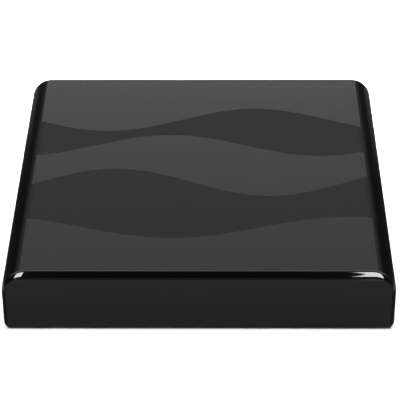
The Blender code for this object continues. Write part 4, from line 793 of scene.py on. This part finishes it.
class PLAYER_OT_base(bpy.types.Operator):
    """Finishes the base plate, its rubber feet and the case screws"""

    bl_idname = "player.base"
    bl_label = "Base"

    def execute(self, context):
        dress("base_plate", satin_black, "case", "satin_black", 0.12 * MM)
        for corner in ("front_left", "front_right", "rear_left", "rear_right"):
            foot = "foot_" + corner
            low, high, middle = extent(foot)
            radius = (high.x - low.x) / 2
            rise = high.z - low.z
            lip, hollow = 0.5 * MM, 0.3 * MM
            profile = [(0, rise), (radius, rise), (radius, lip), (radius - 0.3 * lip, 0.3 * lip)]
            profile += [(radius - lip, 0), (radius * 0.62, 0), (radius * 0.58, 0.25 * MM)]
            profile += [(radius * 0.2, hollow), (0, hollow)]
            pad = lathe(profile, (middle.x, middle.y, low.z), name=foot + "_pad")
            present(soften(pad, 0.1 * MM), rubber, "case", "rubber", foot)
            crosshead("case_screw_" + corner, black_oxide, "black_screw", 1.5 * MM, 1.25 * MM, 1)
        return {"FINISHED"}


def contact_row(name, count, middle, pitch, half_width, depths, heights, softness):
    """Lays flat contacts side by side along X."""
    for i in range(count):
        x = middle + pitch * (i - (count - 1) / 2)
        strip = box(x - half_width, x + half_width, *depths, *heights, f"{name}_contact_{i + 1}")
        gild(strip, softness)


class PLAYER_OT_rear(bpy.types.Operator):
    """Finishes the rear panel and its sockets, with their contacts"""

    bl_idname = "player.rear"
    bl_label = "Rear panel"

    def execute(self, context):
        dress("rear_panel", satin_black, "case", "satin_black", 0.12 * MM)
        self.network_socket()
        self.display_socket()
        for side in ("left", "right"):
            self.data_socket("data_socket_" + side)
        for node in ("audio_jack", "video_jack"):
            self.round_jack(node)
        self.power_inlet()
        dress("switch_housing", moulded_black, "case", "black_plastic", 0.15 * MM)
        dress("switch_rocker", moulded_black, "rocker", "black_plastic", 0.12 * MM)
        return {"FINISHED"}

    def network_socket(self):
        node = "network_socket"
        low, high, middle = extent(node)
        shell = dress(node, bright_steel, "case", "polished_steel", 0.12 * MM)
        half, mouth_top = 6.1 * MM, low.z + 10.4 * MM
        mouth_low = (middle.x - half, high.y - 13.2 * MM, low.z + 1.4 * MM)
        mouth_high = (middle.x + half, high.y - 0.2 * MM, mouth_top + 0.1 * MM)
        paint_inside(shell, mouth_low, mouth_high, moulded_black)
        wire = [
            (high.y - 11.5 * MM, mouth_top - 4.4 * MM),
            (high.y - 11.5 * MM, mouth_top - 4.0 * MM),
            (high.y - 2.4 * MM, mouth_top - 0.35 * MM),
            (high.y - 2.0 * MM, mouth_top - 0.55 * MM),
        ]
        pitch, half_width = 1.02 * MM, 0.22 * MM
        for i in range(8):
            x = middle.x + pitch * (i - 3.5)
            gild(prism(wire, "X", x - half_width, x + half_width, f"network_contact_{i + 1}"), 0.06 * MM)

    def display_socket(self):
        node = "display_socket"
        _, high, middle = extent(node)
        shell = dress(node, bright_steel, "case", "polished_steel", 0.1 * MM)
        half, thick, depth = 5.95 * MM, 0.65 * MM, 8.4 * MM
        mouth_low = (middle.x - half, high.y - depth, middle.z - thick - 0.1 * MM)
        mouth_high = (middle.x + half, high.y - 0.3 * MM, middle.z + thick + 0.1 * MM)
        paint_inside(shell, mouth_low, mouth_high, moulded_black)
        depths = (high.y - depth + 0.4 * MM, high.y - 1.2 * MM)
        heights = (middle.z + thick, middle.z + thick + 0.12 * MM)
        contact_row("display", 10, middle.x, 1.0 * MM, 0.24 * MM, depths, heights, 0.04 * MM)

    def data_socket(self, node):
        _, high, middle = extent(node)
        shell = dress(node, bright_steel, "case", "polished_steel", 0.1 * MM)
        half, tongue_top = 5.55 * MM, high.z - 1.1 * MM
        tongue_low = tongue_top - 1.7 * MM
        mouth_low = (middle.x - half, high.y - 9.45 * MM, tongue_low - 0.1 * MM)
        mouth_high = (middle.x + half, high.y - 1.1 * MM, tongue_top + 0.1 * MM)
        paint_inside(shell, mouth_low, mouth_high, moulded_black)
        depths, heights = (high.y - 9.2 * MM, high.y - 2.2 * MM), (tongue_low - 0.15 * MM, tongue_low)
        contact_row(node, 4, middle.x, 2.4 * MM, 0.5 * MM, depths, heights, 0.05 * MM)

    def round_jack(self, node):
        _, high, middle = extent(node)
        dress(node, moulded_black, "case", "black_plastic", 0.15 * MM)
        inner, outer, proud = 1.85 * MM, 2.9 * MM, 0.35 * MM
        profile = [(outer, 0), (outer - 0.25 * MM, proud), (inner + 0.2 * MM, proud)]
        profile += [(inner, 0.6 * proud), (inner, 0), (outer, 0)]
        ring = lathe(profile, (middle.x, high.y, middle.z), "Y", name=node + "_ring")
        present(soften(ring, 0.05 * MM, 1), bright_steel, "case", "polished_steel")

    def power_inlet(self):
        _, high, middle = extent("dc_jack")
        body = dress("dc_jack", moulded_black, "case", "black_plastic", 0.15 * MM)
        reach = 1.15 * MM
        pin_low = (middle.x - reach, high.y - 9.4 * MM, middle.z - reach)
        paint_inside(body, pin_low, (middle.x + reach, high.y, middle.z + reach), bright_steel)


FINGER_UNDER = 5 * MM
FINGER_LENGTH = 12 * MM
FINGER_FLOOR = 2.1 * MM
PIN_PLAY = 0.15 * MM
PIN_BORE = (PIN_HIGH.x - PIN_LOW.x) / 2 + PIN_PLAY


def pin_cutter(x, y, foot, rise):
    """A cutter for the bore that the lever's pin sits in."""
    return lathe([(0, rise), (PIN_BORE, rise), (PIN_BORE, 0), (0, 0)], (x, y, foot), steps=32)


class PLAYER_OT_tray(bpy.types.Operator):
    """Builds the tray's bezel and lever, and finishes the tray and its screws"""

    bl_idname = "player.tray"
    bl_label = "Tray"

    def execute(self, context):
        dress("drive_tray", satin_black, "tray", "satin_black", 0.12 * MM)
        self.bezel()
        self.lever()
        low, high, middle = extent("lever_pin")
        radius = (high.x - low.x) / 2
        rise = high.z - low.z
        profile = [(0, rise), (radius * 0.8, rise), (radius, rise - 0.15 * MM), (radius, 0), (0, 0)]
        pin = lathe(profile, (middle.x, middle.y, low.z), steps=24, name="lever_pin_fine")
        pin.data.shade_smooth()
        present(pin, bright_steel, "tray", "polished_steel", "lever_pin")
        for node in ("bezel_screw_1", "bezel_screw_2"):
            dress(node, zinc_steel, "tray", "zinc_steel", 0.08 * MM)
        for i in (1, 2, 3, 4):
            self.drive_screw(f"drive_screw_{i}")
        return {"FINISHED"}

    def bezel(self):
        plate = prism(bezel_outline(0, BEZEL_CORNER), "X", BEZEL_LOW.x, BEZEL_HIGH.x, "bezel_face")
        gap = 0.4 * MM
        low_z, high_z = LEVER_LOW.z - gap, LEVER_HIGH.z + gap
        recess = rectangle(LEVER_LOW.y - gap, LEVER_HIGH.y + gap, low_z, high_z)
        cut(plate, prism(recess, "X", LEVER_LOW.x - gap, BEZEL_HIGH.x + OVERRUN))
        start = LEVER_HIGH.y - FINGER_UNDER
        pocket = rectangle(start, start + FINGER_LENGTH, low_z, high_z, 1 * MM)
        cut(plate, prism(pocket, "X", BEZEL_LOW.x + FINGER_FLOOR, BEZEL_HIGH.x + OVERRUN))
        middle = (PIN_LOW + PIN_HIGH) / 2
        rise = BEZEL_HIGH.z + OVERRUN - PIN_LOW.z
        cut(plate, pin_cutter(middle.x, middle.y, PIN_LOW.z - PIN_PLAY, rise))
        present(soften(plate, 0.25 * MM, 3), gloss_black, "tray", "gloss_black", "tray_bezel")

    def lever(self):
        radius = (LEVER_HIGH.x - LEVER_LOW.x) / 2
        pivot = Vector(((LEVER_LOW.x + LEVER_HIGH.x) / 2, LEVER_LOW.y + radius))
        turns = [math.pi * i / 24 for i in range(25)]
        knuckle = [(pivot.x - radius * math.cos(t), pivot.y - radius * math.sin(t)) for t in turns]
        tip = LEVER_HIGH.y
        outline = [
            *knuckle,
            (LEVER_HIGH.x, tip - 1 * MM),
            (LEVER_HIGH.x - 1 * MM, tip),
            (LEVER_LOW.x + 0.8 * MM, tip),
            (LEVER_LOW.x, tip - FINGER_UNDER),
        ]
        arm = prism(outline, "Z", LEVER_LOW.z, LEVER_HIGH.z, "lever_arm")
        rise = LEVER_HIGH.z - LEVER_LOW.z + 2 * OVERRUN
        cut(arm, pin_cutter(pivot.x, pivot.y, LEVER_LOW.z - OVERRUN, rise))
        middle_z = (LEVER_LOW.z + LEVER_HIGH.z) / 2
        depth, half_width, half_height = 0.35 * MM, 0.45 * MM, 3 * MM
        for i in range(3):
            y = tip - 5 * MM - 2.2 * MM * i
            groove = (LEVER_HIGH.x - depth, LEVER_HIGH.x + OVERRUN, y - half_width, y + half_width)
            cut(arm, box(*groove, middle_z - half_height, middle_z + half_height))
        present(soften(arm, 0.2 * MM), satin_black, "lever", "satin_black", "tray_lever")

    def drive_screw(self, node):
        low, high, middle = extent(node)
        head, shank = (high.x - low.x) / 2, 1.3 * MM
        rise = high.z - low.z
        profile = [(0, rise), (shank * 0.8, rise), (shank, rise - 0.3 * MM), (shank, 1.1 * MM)]
        profile += [(head, 0.12 * MM), (head - 0.05 * MM, 0), (0, 0)]
        screw = lathe(profile, (middle.x, middle.y, low.z), name=node + "_fine")
        cut_cross(screw, middle, 0.3 * MM, 1.2 * MM, low.z - OVERRUN, low.z + 0.8 * MM)
        present(soften(screw, 0.06 * MM, 1), zinc_steel, "tray", "zinc_steel", node)


class PLAYER_OT_drive(bpy.types.Operator):
    """Finishes the hard drive on the tray"""

    bl_idname = "player.drive"
    bl_label = "Hard drive"

    def execute(self, context):
        dress("drive_housing", cast_aluminium, "tray", "cast_aluminium", 0.3 * MM)
        self.lid()
        dress("drive_board", solder_mask, "tray", "green_board", 0.08 * MM)
        dress("drive_plug", moulded_black, "tray", "black_plastic", 0.1 * MM)
        low, _, middle = extent("drive_plug")
        blade_top = middle.z + 0.6 * MM
        across = (low.x + 0.4 * MM, low.x + 3.9 * MM)
        pitch, gap = 1.27 * MM, 2.4 * MM  # the gap follows the seventh contact
        for i in range(22):
            y = low.y + 2 * MM + pitch * (i + 0.7) + (gap if i > 6 else 0)
            along = (y - 0.35 * MM, y + 0.35 * MM)
            strip = box(*across, *along, blade_top, blade_top + 0.1 * MM, f"plug_contact_{i + 1}")
            gild(strip, 0.03 * MM, "tray")
        return {"FINISHED"}

    def lid(self):
        """The pressed lid with its stamped groove, the disc over the motor and six lobed screws."""
        sizes = settings("player_lid")
        low, high, middle = extent("drive_lid")
        top = low.z + sizes.sheet
        rise = high.z - top
        outline = rectangle(low.x, high.x, low.y, high.y, sizes.corner)
        lid = prism(outline, "Z", low.z, top, "drive_lid_fine")
        groove, island = (
            rectangle(low.x + inset, high.x - inset, low.y + inset, high.y - inset, sizes.corner)
            for inset in (sizes.groove_inset, sizes.groove_inset + sizes.groove_width)
        )
        ring = prism(groove, "Z", top - sizes.groove_depth, top + OVERRUN)
        cut(lid, cut(ring, prism(island, "Z", low.z, top + 2 * OVERRUN)))
        root = -sizes.sheet / 2
        lip = 0.15 * MM
        hub, dish = sizes.hub_radius, sizes.dish_radius
        disc = [(0, root), (hub, root), (hub, rise - lip), (hub - 2 * lip, rise)]
        disc += [(dish, rise), (dish - 2 * lip, rise - lip), (0, rise - lip)]
        fuse(lid, lathe(disc, (low.x + sizes.hub_place, middle.y, top), steps=96))
        head = [(0, root), (sizes.screw_radius, root), (sizes.screw_radius, rise - lip / 2)]
        head += [(sizes.screw_radius - lip, rise), (0, rise)]
        turns = [math.pi * i / 24 for i in range(48)]
        mean, swing = 0.45, 0.07  # the recess's radius, by the head's
        lobes = [sizes.screw_radius * (mean + swing * math.cos(6 * turn)) for turn in turns]
        for x in (low.x + sizes.screw_inset, middle.x, high.x - sizes.screw_inset):
            for y in (low.y + sizes.screw_inset, high.y - sizes.screw_inset):
                fuse(lid, lathe(head, (x, y, top)))
                star = [(x + r * math.cos(t), y + r * math.sin(t)) for r, t in zip(lobes, turns)]
                cut(lid, prism(star, "Z", top - 0.1 * MM, high.z + OVERRUN))
        present(soften(lid, 0.06 * MM), bright_steel, "tray", "polished_steel", "drive_lid")


class PLAYER_OT_inside(bpy.types.Operator):
    """Finishes the cage, the boards and what stands on them"""

    bl_idname = "player.inside"
    bl_label = "Inside"

    def execute(self, context):
        dress("drive_cage", zinc_steel, "case", "zinc_steel", 0.12 * MM)
        screws = [f"cage_screw_{i}" for i in (1, 2, 3, 4)] + [f"board_screw_{i}" for i in (1, 2, 3)]
        for node in screws:
            crosshead(node, zinc_steel, "zinc_steel", 1.4 * MM, 1 * MM, -1)
        for node in ("main_board", "sensor_board"):
            dress(node, solder_mask, "case", "green_board", 0.1 * MM)
        dress("heat_sink", cast_aluminium, "case", "cast_aluminium", 0.12 * MM)
        blacks = ("processor", "memory_chip_1", "memory_chip_2", "power_coil", "drive_socket")
        blacks += ("ribbon_socket", "infrared_receiver")
        for node in blacks:
            dress(node, moulded_black, "case", "black_plastic", 0.12 * MM)
        for i in (1, 2):
            dress(f"capacitor_{i}", bright_steel, "case", "polished_steel", 0.15 * MM)
        dress("status_lamp", lamp_lens, "case", "lamp_lens", 0.1 * MM)
        dress("sensor_ribbon", ribbon_film, "case", "ribbon_white", 0.05 * MM)
        return {"FINISHED"}


# Studio


STRIP_TILT = 20  # degrees from straight above, to the front
STRIP_DISTANCE = 0.5
STRIP_LENGTH = 0.76
STRIPS = {"strip_left": (-0.15, -0.47), "strip_right": (0.116, 0.47)}  # ends along x


def area_lamp(name, place, aim, width, height, power):
    """A rectangular lamp that only its light shows."""
    lamp = bpy.data.lights.new(name, "AREA")
    lamp.shape = "RECTANGLE"
    lamp.size = width
    lamp.size_y = height
    lamp.energy = power
    obj = bpy.data.objects.new(name, lamp)
    obj.location = place
    obj.rotation_euler = (Vector(aim) - Vector(place)).to_track_quat("-Z", "Y").to_euler()
    obj.visible_camera = False
    obj.visible_glossy = False
    bpy.context.scene.collection.objects.link(obj)
    return obj


def strip_lamp(name, start, end, level):
    """A strip over the front of the case, from one x to another, that only reflections show."""
    corner = Vector((0, WINDOW_LOW.y, CASE_HIGH.z))
    tilt = math.radians(STRIP_TILT)
    reach = Vector((0, -math.sin(tilt), math.cos(tilt))) * STRIP_DISTANCE
    middle = Vector(((start + end) / 2, 0, 0))
    width = abs(end - start)
    power = level * math.pi * width * STRIP_LENGTH
    lamp = area_lamp(name, corner + reach + middle, corner + middle, width, STRIP_LENGTH, power)
    lamp.visible_glossy = True
    lamp.visible_diffuse = False


# How bright the studio's back wall is in a reflection, by the sine of the height above the horizon
BACK_WALL = [(0.0, 0.0), (0.22, 0.02), (0.29, 0.06), (0.35, 0.2), (0.41, 0.42)]
BACK_WALL += [(0.48, 0.6), (0.53, 0.82), (0.585, 0.95), (0.7, 0.9), (0.8, 0.15)]
# How much of it shows, by how far a reflection looks to the back
BACK_REACH = [(0.3, 0.0), (0.6, 1.0)]
# The table in a reflection, by how far it looks from the front, 0, to the back, 1
TABLE = [(0.0, 0.9), (0.1, 0.85), (0.35, 0.05), (0.92, 0.035), (0.96, 0.5), (1.0, 0.7)]
# The table beside the case, by how far a reflection looks to either side, and how much of it shows, by the
# sine of the height above straight down
TABLE_SIDES = [(0.55, 0.0), (0.75, 0.6)]
TABLE_FAR = [(0.46, 0.0), (0.54, 1.0), (0.7, 1.0), (0.8, 0.0)]


class PLAYER_OT_stage(bpy.types.Operator):
    """Builds the floor, the light and the camera"""

    bl_idname = "player.stage"
    bl_label = "Stage"

    def execute(self, context):
        studio = settings("player_studio")
        self.floor(studio)
        self.world(context, studio)
        self.lamps(studio)
        self.camera(context, studio)
        context.scene.view_settings.view_transform = "Standard"
        return {"FINISHED"}

    def floor(self, studio):
        half = studio.floor_size / 2
        floor = prism(rectangle(-half, half, -half, half), "Z", -0.01, 0, "floor")
        finish = Finish("pale_floor", base_color=solid(studio.floor_colour), roughness=0.9)
        finish.set(specular_ior_level=0.0)
        floor.data.materials.append(finish.material)
        floor.visible_glossy = False

    def world(self, context, studio):
        world = bpy.data.worlds.new("studio")
        world.use_nodes = True
        context.scene.world = world
        graph = Graph(world.node_tree)
        rays = graph.add("ShaderNodeLightPath")
        seen = graph.output(rays, "Is Camera Ray").either(graph.output(rays, "Is Transmission Ray"))
        mirrored = graph.output(rays, "Is Glossy Ray")
        x, y, z = graph.split(graph.place("Generated"))
        wall = graph.ramp(z, BACK_WALL) * graph.ramp(y, BACK_REACH)
        sides = graph.ramp(abs(x), TABLE_SIDES) * graph.ramp(z + 1, TABLE_FAR)
        table = graph.ramp(y * 0.5 + 0.5, TABLE).either(sides)
        above = z > 0
        reflected = (wall + studio.dim_level) * above + table * (1 - above)
        level = seen + mirrored * reflected + (1 - seen - mirrored) * studio.world_level
        background = world.node_tree.nodes["Background"]
        graph.feed(background, {"Color": (1, 1, 1, 1), "Strength": level})

    def lamps(self, studio):
        area_lamp("key", (0, -0.5, 1.4), (0, 0, 0), 1.4, 1.4, studio.key_power)
        area_lamp("back", (0, 0.14, 0.15), (0, 0.1, 0), 0.6, 0.06, studio.back_power)
        for name, (start, end) in STRIPS.items():
            strip_lamp(name, start, end, studio.strip_level)

    def camera(self, context, studio):
        lens = bpy.data.cameras.new("camera")
        lens.sensor_width = 36
        lens.lens = studio.focal_length
        camera = bpy.data.objects.new("camera", lens)
        turn = Matrix.Rotation(-studio.camera_yaw, 4, "Z")
        tilt = Matrix.Rotation(math.pi / 2 - studio.camera_pitch, 4, "X")
        roll = Matrix.Rotation(studio.camera_roll, 4, "Z")
        camera.matrix_world = Matrix.Translation(studio.camera_place) @ turn @ tilt @ roll
        context.scene.collection.objects.link(camera)
        context.scene.camera = camera


class PLAYER_PT_panel(bpy.types.Panel):
    """Lists the player's pieces in the sidebar"""

    bl_idname = "PLAYER_PT_panel"
    bl_label = "Media player"
    bl_space_type = "VIEW_3D"
    bl_region_type = "UI"
    bl_category = "Player"

    def draw(self, context):
        for operator in OPERATORS:
            self.layout.operator(operator.bl_idname)


OPERATORS = (
    PLAYER_OT_stage,
    PLAYER_OT_cover,
    PLAYER_OT_window,
    PLAYER_OT_base,
    PLAYER_OT_rear,
    PLAYER_OT_tray,
    PLAYER_OT_drive,
    PLAYER_OT_inside,
)
GROUPS = {
    "player_case": CaseSizes,
    "player_lid": LidSizes,
    "player_pattern": TopPattern,
    "player_finishes": PlayerFinishes,
    "player_studio": StudioSettings,
}


def register():
    for group in GROUPS.values():
        bpy.utils.register_class(group)
    for operator in OPERATORS:
        bpy.utils.register_class(operator)
    bpy.utils.register_class(PLAYER_PT_panel)
    for name, group in GROUPS.items():
        setattr(bpy.types.Scene, name, PointerProperty(type=group))


def unregister():
    for name in GROUPS:
        delattr(bpy.types.Scene, name)
    bpy.utils.unregister_class(PLAYER_PT_panel)
    for operator in reversed(OPERATORS):
        bpy.utils.unregister_class(operator)
    for group in reversed(GROUPS.values()):
        bpy.utils.unregister_class(group)


def main():
    register()
    for operator in OPERATORS:
        piece = operator.bl_idname.split(".")[1]
        getattr(bpy.ops.player, piece)()


if __name__ == "__main__":
    main()
